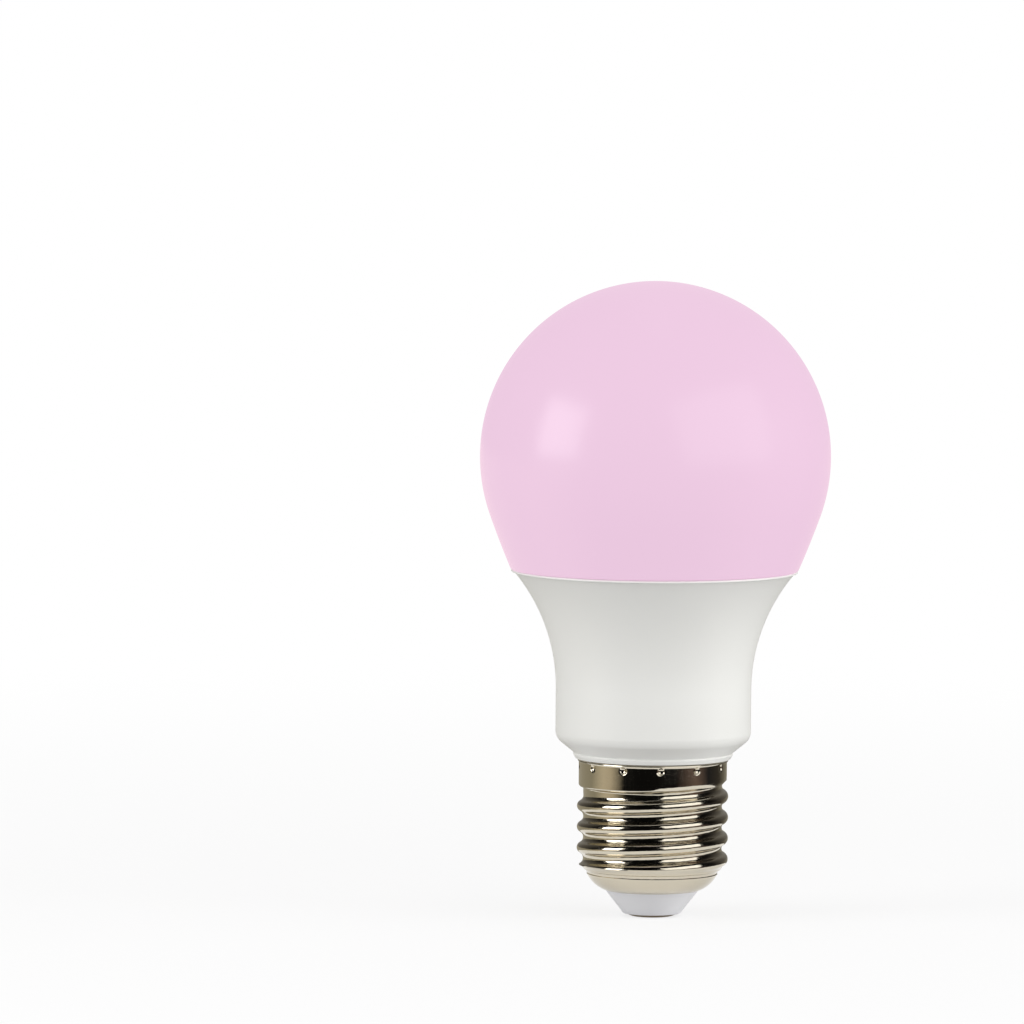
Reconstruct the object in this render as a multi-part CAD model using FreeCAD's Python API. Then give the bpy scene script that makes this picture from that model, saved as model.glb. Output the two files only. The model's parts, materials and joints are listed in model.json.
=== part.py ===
import FreeCAD, Part
import math
import os

# A smart LED lamp with an E27 screw cap. Sizes are in millimetres.
# The axis of the lamp is Z and the middle of the centre contact's flat foot is the origin.
# The front is towards -Y and +X is on the right.

# Diffuser: a blown globe whose neck is a second arc, with a foot and a spigot under it
globe_radius = 30.3
diffuser_height = 49.9
diffuser_wall = 1.2
neck_start_angle = 19.7
seam_gap = 0.15
edge_overhang = 0.15
foot_thickness = 1.2
spigot_depth = 2.0
spigot_clearance = 0.15

# Housing: rim, bell, barrel, chamfer and the neck inside the cap
housing_wall = 1.3
rim_radius = 24.75
rim_height = 0.45
rim_round = 0.2
rim_step = 0.5
land_width = 2.7
seat_clearance = 0.1
bell_height = 20.25
barrel_radius = 16.9
barrel_length = 8.0
barrel_round = 1.4
chamfer_height = 2.95
lip_radius = 13.85
lip_height = 1.1
lip_draft = 0.25
lip_round = 0.3
shoulder_z = 27.35
neck_wall = 1.5
neck_foot_z = 10.0
throat_drop = 0.8
neck_clearance = 0.12
neck_step_clearance = 0.4
thread_clearance = 0.2

# Seal between the diffuser and the housing's rim
seal_width = 1.0
seal_depth = 0.6
seal_inset = 0.6

# Screw cap: a skirt, a rolled thread of the 27 mm size and a bowl round the insulator
sheet = 0.3
skirt_radius = 12.82
skirt_foot_z = 22.25
skirt_step_height = 1.05
thread_crest_radius = 13.1
thread_depth = 1.1
thread_pitch = 3.629
lowest_crest_z = 10.0
full_turns_start = -0.25
full_turns_end = 3.0
run_out_turns = 0.5
thread_strips = 8
sections_per_turn = 12
ridge_foot_gap = 0.1
ridge_foot_sink = 0.05
ridge_end_sink = 0.1
ridge_root = 0.35
ledge_radius = 11.05
ledge_foot_z = 7.3
ledge_height = 1.2
lead_in_radius = 14.0
lead_in_height = 2.9
bowl_middle_radius = 9.9
bowl_middle_z = 5.85
bowl_foot_z = 4.55
bowl_hole_radius = 7.9

# Crimp dimples in the skirt, each in a socket of the neck
dimple_count = 12
dimple_phase = 5.6
dimple_z = 26.2
dimple_ball_radius = 0.8
dimple_depth = 0.35
socket_clearance = 0.05

# Cap insulator and centre contact
insulator_foot_z = 0.5
insulator_foot_radius = 4.95
insulator_clearance = 0.08
insulator_flange_radius = 9.2
insulator_top_z = 6.4
contact_radius = 4.4
contact_flat_radius = 3.0
stem_radius = 1.5
stem_clearance = 0.05
collar_radius = 2.3
collar_height = 0.4
stem_rise = 0.5
eyelet_depth = 2.6
eyelet_clearance = 0.1

# Heat sink: a drawn aluminium cup nested in the housing
sink_wall = 0.8
sink_clearance = 0.1
sink_lift = 0.3
sink_ledge_width = 5.2
sink_ledge_thickness = 1.0
board_drop = 4.1

# LED board, its light sources and its screws
led_board_thickness = 1.0
led_board_clearance = 0.4
white_led_count = 12
white_led_inset = 5.2
white_led_width = 2.8
white_led_length = 3.5
color_led_count = 6
color_led_circle = 6.2
led_height = 0.7
led_lens_inset = 0.35
led_lens_rise = 0.1
board_screw_count = 2
board_screw_inset = 3.9
board_screw_radius = 1.2
board_screw_head_radius = 2.1
board_screw_head_height = 1.3
board_screw_length = 3.4
screw_slot_width = 0.6
screw_slot_depth = 0.7
screw_clearance = 0.05

# Driver board: a plate with a tongue in the neck's guide grooves
driver_front_y = -2.0
driver_thickness = 1.2
driver_side_gap = 2.0
driver_shoulder_drop = 0.75
driver_top_gap = 2.0
tongue_clearance = 0.35
tongue_foot_clearance = 0.1
guide_rib_width = 0.9
guide_rib_reach = 2.0
guide_clearance = 0.1
guide_floor_height = 1.0
solder_gap = 0.05

# Parts on the driver board
input_capacitor_radius = 4.0
input_capacitor_length = 14.0
input_capacitor_gap = 0.6
input_capacitor_rise = 1.8
output_capacitor_radius = 3.15
output_capacitor_length = 11.0
output_capacitor_gap = 0.25
output_capacitor_rise = 3.3
can_groove_depth = 0.25
can_groove_height = 0.8
can_groove_rise = 1.2
core_width = 10.2
core_depth = 5.0
core_height = 10.2
core_leg_width = 2.4
core_window_height = 6.6
core_rise = 0.4
bobbin_wall = 0.5
bobbin_clearance = 0.1
bobbin_flange = 1.15
transformer_pin_radius = 0.22
transformer_gap = 0.25
winding_thickness = 0.9
film_capacitor_width = 8.0
film_capacitor_depth = 4.0
film_capacitor_height = 7.0
film_capacitor_x = -2.6
film_capacitor_rise = 8.9
film_capacitor_round = 0.6
fuse_radius = 1.5
fuse_waist_radius = 1.28
fuse_length = 8.0
fuse_x = 5.0
fuse_rise = 9.4
fuse_lead_radius = 0.3
fuse_lead_length = 1.2
inductor_radius = 3.0
inductor_length = 8.0
inductor_flange = 1.0
inductor_winding_radius = 2.65
inductor_rise = 7.9
rectifier_width = 4.7
rectifier_height = 3.9
rectifier_depth = 1.5
rectifier_x = -4.3
rectifier_rise = 2.1
chip_width = 4.9
chip_height = 3.9
chip_depth = 1.5
chip_x = 0.0
chip_drop = 5.0
chip_leg_count = 4
chip_leg_pitch = 1.27
chip_leg_width = 0.4
chip_leg_reach = 1.0
chip_leg_thickness = 0.25
resistor_width = 2.0
resistor_height = 1.25
resistor_depth = 0.5
resistor_count = 6
resistor_pitch = 2.4
resistor_inset = 1.4
resistor_rise = 1.8
diode_width = 2.6
diode_height = 4.3
diode_depth = 2.1
diode_count = 3
diode_pitch = 6.2
diode_inset = 2.4
diode_rise = 1.2
diode_tab_width = 1.5
diode_tab_reach = 0.6
diode_tab_thickness = 0.3

# Wireless board with its shield can and antenna, standing through the LED board
wireless_y = 8.8
wireless_width = 12.4
wireless_thickness = 0.8
wireless_drop = 12.0
wireless_stand = 9.0
wireless_slot_clearance = 0.3
shield_width = 10.4
shield_height = 8.4
shield_depth = 1.6
shield_rise = 3.0
shield_round = 0.5
antenna_line = 0.6
antenna_thickness = 0.1
antenna_fold_count = 5
antenna_fold_pitch = 1.9
antenna_height = 4.0
antenna_margin = 0.8

# Pins between the boards
pin_width = 0.6
pin_pitch = 2.0
link_pin_count = 6
link_pin_lap = 4.0
link_pin_stand = 1.6
wireless_pin_count = 5
wireless_pin_rise = 1.4
wireless_pin_stand = 0.6
pin_clearance = 0.2

# Leads from the driver board to the cap
lead_radius = 0.5
lead_wire_radius = 0.3
lead_bend_radius = 1.2
live_lead_rise = 4.9
neutral_lead_x = 6.9
neutral_lead_rise = 3.9
neutral_cross_drop = 1.1
neutral_rise = 3.0
neutral_bare_length = 4.0
neutral_shell_gap = 0.05
notch_clearance = 0.15

# How far a cutting form stands past the face that it cuts
tool_margin = 1.0

# Heights of the housing, from the cap's shoulder up, and of the globe
lip_top_z = shoulder_z + lip_height
barrel_foot_z = lip_top_z + chamfer_height
bell_foot_z = barrel_foot_z + barrel_length
bell_top_z = bell_foot_z + bell_height
seam_z = bell_top_z + rim_height
globe_top_z = seam_z + diffuser_height
globe_z = globe_top_z - globe_radius
edge_z = seam_z + seam_gap
spigot_foot_z = seam_z - spigot_depth
seat_floor_z = spigot_foot_z - seat_clearance

# Radii of the seam, the bell and the neck
edge_radius = rim_radius + edge_overhang
seat_radius = rim_radius - land_width
spigot_radius = seat_radius - spigot_clearance
bell_top_radius = rim_radius - rim_step
bell_rise = bell_top_radius - barrel_radius
bell_radius = (bell_rise ** 2 + bell_height ** 2) / (2 * bell_rise)
bell_center = (barrel_radius + bell_radius, bell_foot_z)
barrel_bore_radius = barrel_radius - housing_wall
chamfer_angle = math.atan2(barrel_radius - lip_radius, chamfer_height)
barrel_floor_z = barrel_foot_z + housing_wall * math.tan(chamfer_angle / 2)
thread_root_radius = thread_crest_radius - thread_depth
skirt_bore_radius = skirt_radius - sheet
root_bore_radius = thread_root_radius - sheet
neck_top_radius = skirt_bore_radius - neck_clearance
neck_radius = root_bore_radius - thread_clearance
neck_bore_radius = neck_radius - neck_wall
neck_bore_top_z = shoulder_z - throat_drop
neck_step_z = skirt_foot_z + skirt_step_height + neck_step_clearance

# Form of the thread: two tangent arcs of one radius make each flank
flank_radius = (thread_depth ** 2 + (thread_pitch / 2) ** 2) / (4 * thread_depth)

# Places of the boards
board_z = seam_z - board_drop
board_top_z = board_z + led_board_thickness
sink_bore_radius = barrel_bore_radius - sink_clearance - sink_wall
driver_back_y = driver_front_y + driver_thickness
driver_half_width = sink_bore_radius - driver_side_gap
driver_shoulder_z = barrel_floor_z - driver_shoulder_drop
driver_top_z = board_z - driver_top_gap
tongue_half_width = math.sqrt(neck_bore_radius ** 2 - driver_front_y ** 2) - tongue_clearance
guide_floor_z = neck_foot_z + guide_floor_height
tongue_foot_z = guide_floor_z + tongue_foot_clearance
wireless_back_y = wireless_y + wireless_thickness
wireless_foot_z = board_z - wireless_drop
wireless_top_z = board_top_z + wireless_stand
wireless_pin_z = wireless_foot_z + wireless_pin_rise

# Places of what the driver board carries
input_capacitor_y = driver_front_y - solder_gap - input_capacitor_radius
input_capacitor_reach = sink_bore_radius - input_capacitor_radius - input_capacitor_gap
input_capacitor_x = -math.sqrt(input_capacitor_reach ** 2 - input_capacitor_y ** 2)
resistor_x = driver_half_width - resistor_inset
output_capacitor_x = resistor_x - resistor_width / 2 - output_capacitor_radius - output_capacitor_gap
diode_x = diode_inset - driver_half_width
core_z = driver_shoulder_z + core_rise
core_front_y = driver_back_y + transformer_gap + bobbin_flange + bobbin_wall + bobbin_clearance

# Heights of the contact and of the stem riveted over the insulator
contact_top_z = insulator_foot_z
collar_z = insulator_top_z + stem_clearance
stem_top_z = collar_z + collar_height + stem_rise
eyelet_radius = lead_wire_radius + eyelet_clearance


def vector(radius, height):
    """A point of a section, in the plane of +X and +Z."""
    return FreeCAD.Vector(radius, 0, height)


def box(x0, x1, y0, y1, z0, z1):
    """A block between two corners."""
    corner = FreeCAD.Vector(x0, y0, z0)
    return Part.makeBox(x1 - x0, y1 - y0, z1 - z0, corner)


def rod(radius, x, y, z0, z1):
    """An upright cylinder."""
    return Part.makeCylinder(radius, z1 - z0, FreeCAD.Vector(x, y, z0))


def cross_rod(radius, x, z, y0, y1):
    """A cylinder along Y."""
    return Part.makeCylinder(radius, y1 - y0, FreeCAD.Vector(x, y0, z), FreeCAD.Vector(0, 1, 0))


def turned(shape, degrees):
    """A copy of the shape, turned about the lamp's axis."""
    copy = shape.copy()
    copy.rotate(FreeCAD.Vector(0, 0, 0), FreeCAD.Vector(0, 0, 1), degrees)
    return copy


def around(shape, count, first=0.0):
    """Copies of the shape, evenly spaced about the lamp's axis."""
    return [turned(shape, first + index * 360.0 / count) for index in range(count)]


def cut_all(shape, tools):
    """The shape without all of the tools."""
    return shape.cut(tools)


def fuse_all(shapes):
    """One solid from shapes that overlap or touch."""
    return shapes[0].fuse(shapes[1:]).removeSplitter()


class Outline:
    """A closed section in the plane of +X and +Z, drawn one edge at a time."""

    def __init__(self, radius, height):
        self.first = vector(radius, height)
        self.last = self.first
        self.edges = []

    def line(self, radius, height):
        """A straight edge to a point."""
        end = vector(radius, height)
        self.edges.append(Part.LineSegment(self.last, end).toShape())
        self.last = end
        return self

    def arc(self, center, radius, height):
        """An arc of less than half a turn about a centre, to a point."""
        middle = vector(*center)
        end = vector(radius, height)
        reach = (self.last - middle).Length
        towards = (self.last - middle).normalize() + (end - middle).normalize()
        between = middle + towards.normalize() * reach
        self.edges.append(Part.Arc(self.last, between, end).toShape())
        self.last = end
        return self

    def corner(self, radius, height, next_radius, next_height, round_radius):
        """A line to a rounded corner, which ends on the way to the next point."""
        point = vector(radius, height)
        back = (self.last - point).normalize()
        onward = (vector(next_radius, next_height) - point).normalize()
        half_angle = back.getAngle(onward) / 2
        setback = round_radius / math.tan(half_angle)
        begin = point + back * setback
        end = point + onward * setback
        middle = point + (back + onward).normalize() * (round_radius / math.sin(half_angle))
        self.line(begin.x, begin.z)
        return self.arc((middle.x, middle.z), end.x, end.z)

    def revolve(self):
        """The solid that the closed section makes about the lamp's axis."""
        if (self.last - self.first).Length > 1e-7:
            self.line(self.first.x, self.first.z)
        face = Part.Face(Part.Wire(self.edges))
        return face.revolve(FreeCAD.Vector(0, 0, 0), FreeCAD.Vector(0, 0, 1), 360)


def bell_wall_radius(height, offset):
    """Radius of the bell at a height, with an offset inwards from its outer face."""
    drop = height - bell_foot_z
    return bell_center[0] - math.sqrt((bell_radius + offset) ** 2 - drop ** 2)


led_board_radius = bell_wall_radius(board_z, housing_wall) - led_board_clearance
sink_ledge_radius = led_board_radius - sink_ledge_width
white_led_circle = led_board_radius - white_led_inset
board_screw_circle = led_board_radius - board_screw_inset


def make_diffuser():
    """Globe with a neck arc, an inward foot that covers the rim, and a spigot in its seat."""
    angle = math.radians(-neck_start_angle)
    normal = FreeCAD.Vector(math.cos(angle), 0, math.sin(angle))
    globe_center = vector(0, globe_z)
    tangent_point = globe_center + normal * globe_radius
    edge = vector(edge_radius, edge_z)
    chord = edge - tangent_point
    neck_arc_radius = -chord.Length ** 2 / (2 * chord.dot(normal))
    neck_center = tangent_point - normal * neck_arc_radius
    neck_middle = (neck_center.x, neck_center.z)
    inner_tangent = tangent_point - normal * diffuser_wall
    inner_reach = abs(neck_arc_radius - diffuser_wall)
    foot_top_z = edge_z + foot_thickness
    side = math.copysign(1.0, neck_arc_radius)
    foot_run = math.sqrt(inner_reach ** 2 - (foot_top_z - neck_center.z) ** 2)
    foot_inner_radius = neck_center.x + side * foot_run
    spigot_bore_radius = spigot_radius - diffuser_wall
    outline = Outline(0, globe_top_z)
    outline.arc((0, globe_z), tangent_point.x, tangent_point.z)
    outline.arc(neck_middle, edge_radius, edge_z)
    outline.line(spigot_radius, edge_z)
    outline.line(spigot_radius, spigot_foot_z)
    outline.line(spigot_bore_radius, spigot_foot_z)
    outline.line(spigot_bore_radius, foot_top_z)
    outline.line(foot_inner_radius, foot_top_z)
    outline.arc(neck_middle, inner_tangent.x, inner_tangent.z)
    outline.arc((0, globe_z), 0, globe_top_z - diffuser_wall)
    return outline.revolve()


def seal_radii():
    """Inner and outer radius of the seal in the rim's land."""
    outer = rim_radius - rim_step - seal_inset
    return outer - seal_width, outer


def make_diffuser_seal():
    """Silicone ring in the groove of the rim, under the diffuser's foot."""
    inner, outer = seal_radii()
    ring = rod(outer, 0, 0, seam_z - seal_depth, edge_z)
    return ring.cut(rod(inner, 0, 0, seam_z - seal_depth, edge_z))


def dimple_point():
    """Centre of the ball that presses the dimple at the front."""
    reach = skirt_radius - dimple_depth + dimple_ball_radius
    return FreeCAD.Vector(0, -reach, dimple_z)


def make_housing():
    """Moulded housing: rim, bell, barrel and chamfer outside, seat, bore and neck inside."""
    lip_foot_radius = lip_radius - lip_draft
    seat_inner_radius = bell_wall_radius(seat_floor_z, housing_wall)
    outline = Outline(seat_radius, seam_z)
    outline.corner(rim_radius, seam_z, rim_radius, bell_top_z, rim_round)
    outline.line(rim_radius, bell_top_z + rim_round)
    outline.line(bell_top_radius, bell_top_z)
    outline.arc(bell_center, barrel_radius, bell_foot_z)
    outline.corner(barrel_radius, barrel_foot_z, lip_radius, lip_top_z, barrel_round)
    outline.line(lip_radius, lip_top_z)
    outline.corner(lip_foot_radius, shoulder_z, neck_top_radius, shoulder_z, lip_round)
    outline.line(neck_top_radius, shoulder_z)
    outline.line(neck_top_radius, neck_step_z + neck_top_radius - neck_radius)
    outline.line(neck_radius, neck_step_z)
    outline.line(neck_radius, neck_foot_z)
    outline.line(neck_bore_radius, neck_foot_z)
    outline.line(neck_bore_radius, neck_bore_top_z)
    outline.line(barrel_bore_radius, barrel_floor_z)
    outline.line(barrel_bore_radius, bell_foot_z)
    outline.arc(bell_center, seat_inner_radius, seat_floor_z)
    outline.line(seat_radius, seat_floor_z)
    housing = outline.revolve()
    inner, outer = seal_radii()
    groove = rod(outer, 0, 0, seam_z - seal_depth, edge_z).cut(rod(inner, 0, 0, seam_z - seal_depth, edge_z))
    socket = Part.makeSphere(dimple_ball_radius + sheet + socket_clearance, dimple_point())
    housing = cut_all(housing, [groove] + around(socket, dimple_count, dimple_phase))
    housing = fuse_all([housing] + guide_ribs())
    return cut_all(housing, [neutral_notch()])


def guide_ribs():
    """Ribs in the neck's bore that hold the edges of the driver board's tongue, and their floors."""
    bore_wall = rod((neck_bore_radius + neck_radius) / 2, 0, 0, neck_foot_z, neck_bore_top_z)
    ribs = []
    for side in (-1, 1):
        inner_x = side * (neck_bore_radius - guide_rib_reach)
        outer_x = side * neck_radius
        low_x = min(inner_x, outer_x)
        high_x = max(inner_x, outer_x)
        front = driver_front_y - guide_clearance
        back = driver_back_y + guide_clearance
        ribs.append(box(low_x, high_x, front - guide_rib_width, front, neck_foot_z, neck_bore_top_z))
        ribs.append(box(low_x, high_x, back, back + guide_rib_width, neck_foot_z, neck_bore_top_z))
        ribs.append(box(low_x, high_x, front, back, neck_foot_z, guide_floor_z))
    return [rib.common(bore_wall) for rib in ribs]


def neutral_wire_radius_of_path():
    """Distance of the neutral lead's upright end from the lamp's axis."""
    return root_bore_radius - neutral_shell_gap - lead_radius


def neutral_notch():
    """Notch down the outside of the neck, in which the neutral lead lies against the shell."""
    half_width = lead_radius + notch_clearance
    floor_x = neutral_wire_radius_of_path() - lead_radius - notch_clearance
    top_z = neck_foot_z + neutral_rise + neutral_bare_length + notch_clearance
    return box(floor_x, neck_radius + tool_margin, -half_width, half_width, neck_foot_z - tool_margin, top_z)


def ease(value):
    """Smooth step from 0 to 1."""
    held = min(max(value, 0.0), 1.0)
    return held * held * (3 - 2 * held)


def bowl_circle():
    """Centre and radius of the arc that the bowl's outer face follows."""
    start = vector(ledge_radius, ledge_foot_z)
    between = vector(bowl_middle_radius, bowl_middle_z)
    end = vector(bowl_hole_radius, bowl_foot_z)
    circle = Part.Arc(start, between, end).toShape().Curve
    return circle.Center, circle.Radius


def bowl_height(radius, depth):
    """Height of the bowl at a radius, on the face at a depth under its outer face."""
    center, reach = bowl_circle()
    return center.z - math.sqrt((reach - depth) ** 2 - (radius - center.x) ** 2)


def step_out(outline, low, high, depth):
    """Two tangent arcs from an upright wall to a wider one above, at a depth under the outer face."""
    rise = high[0] - low[0]
    bend = (rise ** 2 + (high[1] - low[1]) ** 2) / (4 * rise)
    hollow = vector(low[0] + bend, low[1])
    bulge = vector(high[0] - bend, high[1])
    between = hollow + (bulge - hollow).normalize() * (bend + depth)
    outline.arc((hollow.x, hollow.z), between.x, between.z)
    outline.arc((bulge.x, bulge.z), high[0] - depth, high[1])


def thread_fullness(turns):
    """Share of the thread's full depth at a count of turns. It runs out smoothly at both ends."""
    start_share = ease((turns - full_turns_start) / run_out_turns + 1)
    return start_share * ease((full_turns_end - turns) / run_out_turns + 1)


def thread_profile(depth):
    """Axial offset and radius of each corner of the thread's section, on the face at a depth."""
    quarter = math.asin(thread_pitch / 4 / flank_radius)
    corners = []
    for index in range(1, thread_strips):
        place = quarter * (4 * index / thread_strips - 2)
        if abs(place) <= quarter:
            reach = flank_radius - depth
            radius = thread_crest_radius - flank_radius + reach * math.cos(place)
            corners.append((reach * math.sin(place), radius))
        else:
            reach = flank_radius + depth
            turn = 2 * quarter - abs(place)
            offset = math.copysign(thread_pitch / 2 - reach * math.sin(turn), place)
            radius = thread_root_radius + flank_radius - reach * math.cos(turn)
            corners.append((offset, radius))
    foot_radius = thread_root_radius - depth - ridge_foot_sink
    foot_offset = thread_pitch / 2 - ridge_foot_gap
    return [(-foot_offset, foot_radius)] + corners + [(foot_offset, foot_radius)]


def thread_section(turns, depth):
    """Closed section of the thread's ridge, in the plane of the axis, at a count of turns."""
    angle = turns * 2 * math.pi
    crest_z = lowest_crest_z + thread_pitch * turns
    fullness = thread_fullness(turns)
    profile = thread_profile(depth)
    foot_offset, foot_radius = profile[-1]
    points = []
    for offset, radius in profile:
        lifted = foot_radius + (radius - foot_radius) * fullness - ridge_end_sink * (1 - fullness)
        points.append((offset, lifted))
    points += [(foot_offset, foot_radius - ridge_root), (-foot_offset, foot_radius - ridge_root)]
    corners = [FreeCAD.Vector(radius * math.cos(angle), radius * math.sin(angle), crest_z + offset)
               for offset, radius in points]
    return Part.makePolygon(corners + corners[:1])


def thread_ridge(depth):
    """Right-handed ridge of the thread, lofted through its sections."""
    first = full_turns_start - run_out_turns
    count = round((full_turns_end + run_out_turns - first) * sections_per_turn)
    sections = [thread_section(first + index / sections_per_turn, depth) for index in range(count + 1)]
    return Part.makeLoft(sections, True, False).common(lead_in(depth))


def lead_in(depth):
    """Form that the thread stays within, which narrows down to the ledge above the bowl."""
    outline = Outline(0, ledge_foot_z)
    outline.line(ledge_radius - depth, ledge_foot_z)
    step_out(outline, (ledge_radius, ledge_foot_z), (lead_in_radius, ledge_foot_z + lead_in_height), depth)
    outline.line(lead_in_radius - depth, shoulder_z)
    outline.line(0, shoulder_z)
    return outline.revolve()


def cap_form(depth):
    """The cap as a full solid, with its faces at a depth under the sheet's outer faces."""
    center, reach = bowl_circle()
    foot_z = bowl_height(bowl_hole_radius, depth)
    outline = Outline(0, foot_z)
    outline.line(bowl_hole_radius, foot_z)
    outline.arc((center.x, center.z), ledge_radius - depth, bowl_height(ledge_radius - depth, depth))
    step_out(outline, (ledge_radius, ledge_foot_z), (thread_root_radius, ledge_foot_z + ledge_height), depth)
    outline.line(thread_root_radius - depth, skirt_foot_z)
    step_top_z = skirt_foot_z + skirt_step_height
    step_out(outline, (thread_root_radius, skirt_foot_z), (skirt_radius, step_top_z), depth)
    outline.line(skirt_radius - depth, shoulder_z)
    outline.line(0, shoulder_z)
    return outline.revolve().fuse(thread_ridge(depth))


def make_screw_shell():
    """Rolled sheet cap: bowl, thread and plain skirt, with the crimp dimples pressed in."""
    shell = cap_form(0.0).cut(cap_form(sheet)).cut(rod(bowl_hole_radius, 0, 0, 0, thread_root_radius))
    ball = Part.makeSphere(dimple_ball_radius, dimple_point())
    boss = Part.makeSphere(dimple_ball_radius + sheet, dimple_point())
    boss = boss.common(rod(skirt_radius - sheet / 2, 0, 0, skirt_foot_z, shoulder_z))
    shell = shell.fuse(around(boss, dimple_count, dimple_phase))
    return cut_all(shell, around(ball, dimple_count, dimple_phase))


def make_cap_insulator():
    """Insulator between shell and contact: a cone below, a flange on the bowl inside."""
    hole_radius = bowl_hole_radius - insulator_clearance
    flange_foot_z = bowl_height(insulator_flange_radius, sheet + insulator_clearance)
    hole_top_z = bowl_height(bowl_hole_radius, sheet + insulator_clearance)
    bore = stem_radius + stem_clearance
    outline = Outline(bore, insulator_foot_z)
    outline.line(insulator_foot_radius, insulator_foot_z)
    outline.line(hole_radius, bowl_foot_z)
    outline.line(hole_radius, hole_top_z)
    outline.line(insulator_flange_radius, flange_foot_z)
    outline.line(insulator_flange_radius, insulator_top_z)
    outline.line(bore, insulator_top_z)
    return outline.revolve()


def make_center_contact():
    """Contact disc with a rounded edge and a hollow stem riveted over the insulator."""
    edge_rise = contact_top_z
    edge_run = contact_radius - contact_flat_radius
    edge_arc_radius = (edge_rise ** 2 + edge_run ** 2) / (2 * edge_rise)
    outline = Outline(0, 0)
    outline.line(contact_flat_radius, 0)
    outline.arc((contact_flat_radius, edge_arc_radius), contact_radius, contact_top_z)
    outline.line(stem_radius, contact_top_z)
    outline.line(stem_radius, collar_z)
    outline.line(collar_radius, collar_z)
    outline.line(stem_radius, collar_z + collar_height)
    outline.line(stem_radius, stem_top_z)
    outline.line(eyelet_radius, stem_top_z)
    outline.line(eyelet_radius, stem_top_z - eyelet_depth)
    outline.line(0, stem_top_z - eyelet_depth)
    return outline.revolve()


def make_heat_sink():
    """Drawn aluminium cup with a ledge under the LED board."""
    outer = housing_wall + sink_clearance
    inner = outer + sink_wall
    foot_z = barrel_floor_z + sink_lift
    ledge_foot_z = board_z - sink_ledge_thickness
    outline = Outline(barrel_radius - outer, foot_z)
    outline.line(barrel_radius - outer, bell_foot_z)
    outline.arc(bell_center, bell_wall_radius(board_z, outer), board_z)
    outline.line(sink_ledge_radius, board_z)
    outline.line(sink_ledge_radius, ledge_foot_z)
    outline.line(bell_wall_radius(ledge_foot_z, inner), ledge_foot_z)
    outline.arc(bell_center, barrel_radius - inner, bell_foot_z)
    outline.line(barrel_radius - inner, foot_z)
    return cut_all(outline.revolve(), screw_holes(ledge_foot_z, board_z))


def board_screw_phase():
    """Angle of the first screw, midway between two light sources of the outer circle."""
    return 180.0 / white_led_count


def screw_holes(z0, z1):
    """Holes of the board screws between two heights."""
    hole = rod(board_screw_radius + screw_clearance, board_screw_circle, 0, z0, z1)
    return around(hole, board_screw_count, board_screw_phase())


def make_board_screws():
    """Pan head screws through the LED board into the heat sink."""
    head_top_z = board_top_z + board_screw_head_height
    head_foot = rod(board_screw_head_radius, board_screw_circle, 0, board_top_z, head_top_z)
    rims = [edge for edge in head_foot.Edges if edge.BoundBox.ZMin > (board_top_z + head_top_z) / 2]
    head = head_foot.makeFillet(board_screw_head_height / 2, rims)
    shank = rod(board_screw_radius, board_screw_circle, 0, board_top_z - board_screw_length, board_top_z)
    screw = fuse_all([head, shank])
    top_z = board_top_z + board_screw_head_height
    reach = board_screw_head_radius - screw_slot_width
    for across, along in ((reach, screw_slot_width / 2), (screw_slot_width / 2, reach)):
        slot = box(board_screw_circle - across, board_screw_circle + across, -along, along,
                   top_z - screw_slot_depth, top_z)
        screw = screw.cut(slot)
    return Part.makeCompound(around(screw, board_screw_count, board_screw_phase()))


def pin_places(count):
    """Places of a row of pins along X, centred on the axis."""
    return [(index - (count - 1) / 2) * pin_pitch for index in range(count)]


def make_led_board():
    """Aluminium-core disc with holes for its screws and pins and a slot for the wireless board."""
    board = rod(led_board_radius, 0, 0, board_z, board_top_z)
    half_slot = wireless_width / 2 + wireless_slot_clearance
    slot = box(-half_slot, half_slot, wireless_y - wireless_slot_clearance,
               wireless_back_y + wireless_slot_clearance, board_z, board_top_z)
    pin_y = driver_back_y + pin_width / 2
    hole_radius = pin_width / math.sqrt(2) + pin_clearance
    pin_holes = [rod(hole_radius, x, pin_y, board_z, board_top_z) for x in pin_places(link_pin_count)]
    return cut_all(board, [slot] + pin_holes + screw_holes(board_z, board_top_z))


def led_body(circle):
    """One light source: a square body with a round lens just proud of it."""
    half_length = white_led_length / 2
    half_width = white_led_width / 2
    body = box(circle - half_length, circle + half_length, -half_width, half_width,
               board_top_z, board_top_z + led_height)
    lens_radius = half_width - led_lens_inset
    lens_top_z = board_top_z + led_height + led_lens_rise
    lens = rod(lens_radius, circle, 0, board_top_z + led_height / 2, lens_top_z)
    return fuse_all([body, lens])


def make_white_leds(first):
    """Every other light source of the outer circle, from the first angle on."""
    return Part.makeCompound(around(led_body(white_led_circle), white_led_count // 2, first))


def make_color_leds():
    """Light sources of the inner circle."""
    return Part.makeCompound(around(led_body(color_led_circle), color_led_count, 180.0 / color_led_count))


def make_driver_board():
    """Circuit board with a tongue that slides into the neck's grooves."""
    wide = box(-driver_half_width, driver_half_width, driver_front_y, driver_back_y,
               driver_shoulder_z, driver_top_z)
    tongue = box(-tongue_half_width, tongue_half_width, driver_front_y, driver_back_y,
                 tongue_foot_z, driver_shoulder_z)
    board = fuse_all([wide, tongue])
    hole_radius = pin_width / math.sqrt(2) + solder_gap
    holes = [cross_rod(hole_radius, x, wireless_pin_z, driver_front_y, driver_back_y)
             for x in pin_places(wireless_pin_count)]
    return cut_all(board, holes)


def waist_tool(radius, waist_radius, x, y, z0, z1):
    """Ring that turns a round part down to a waist between two heights."""
    return rod(radius + tool_margin, x, y, z0, z1).cut(rod(waist_radius, x, y, z0, z1))


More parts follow.
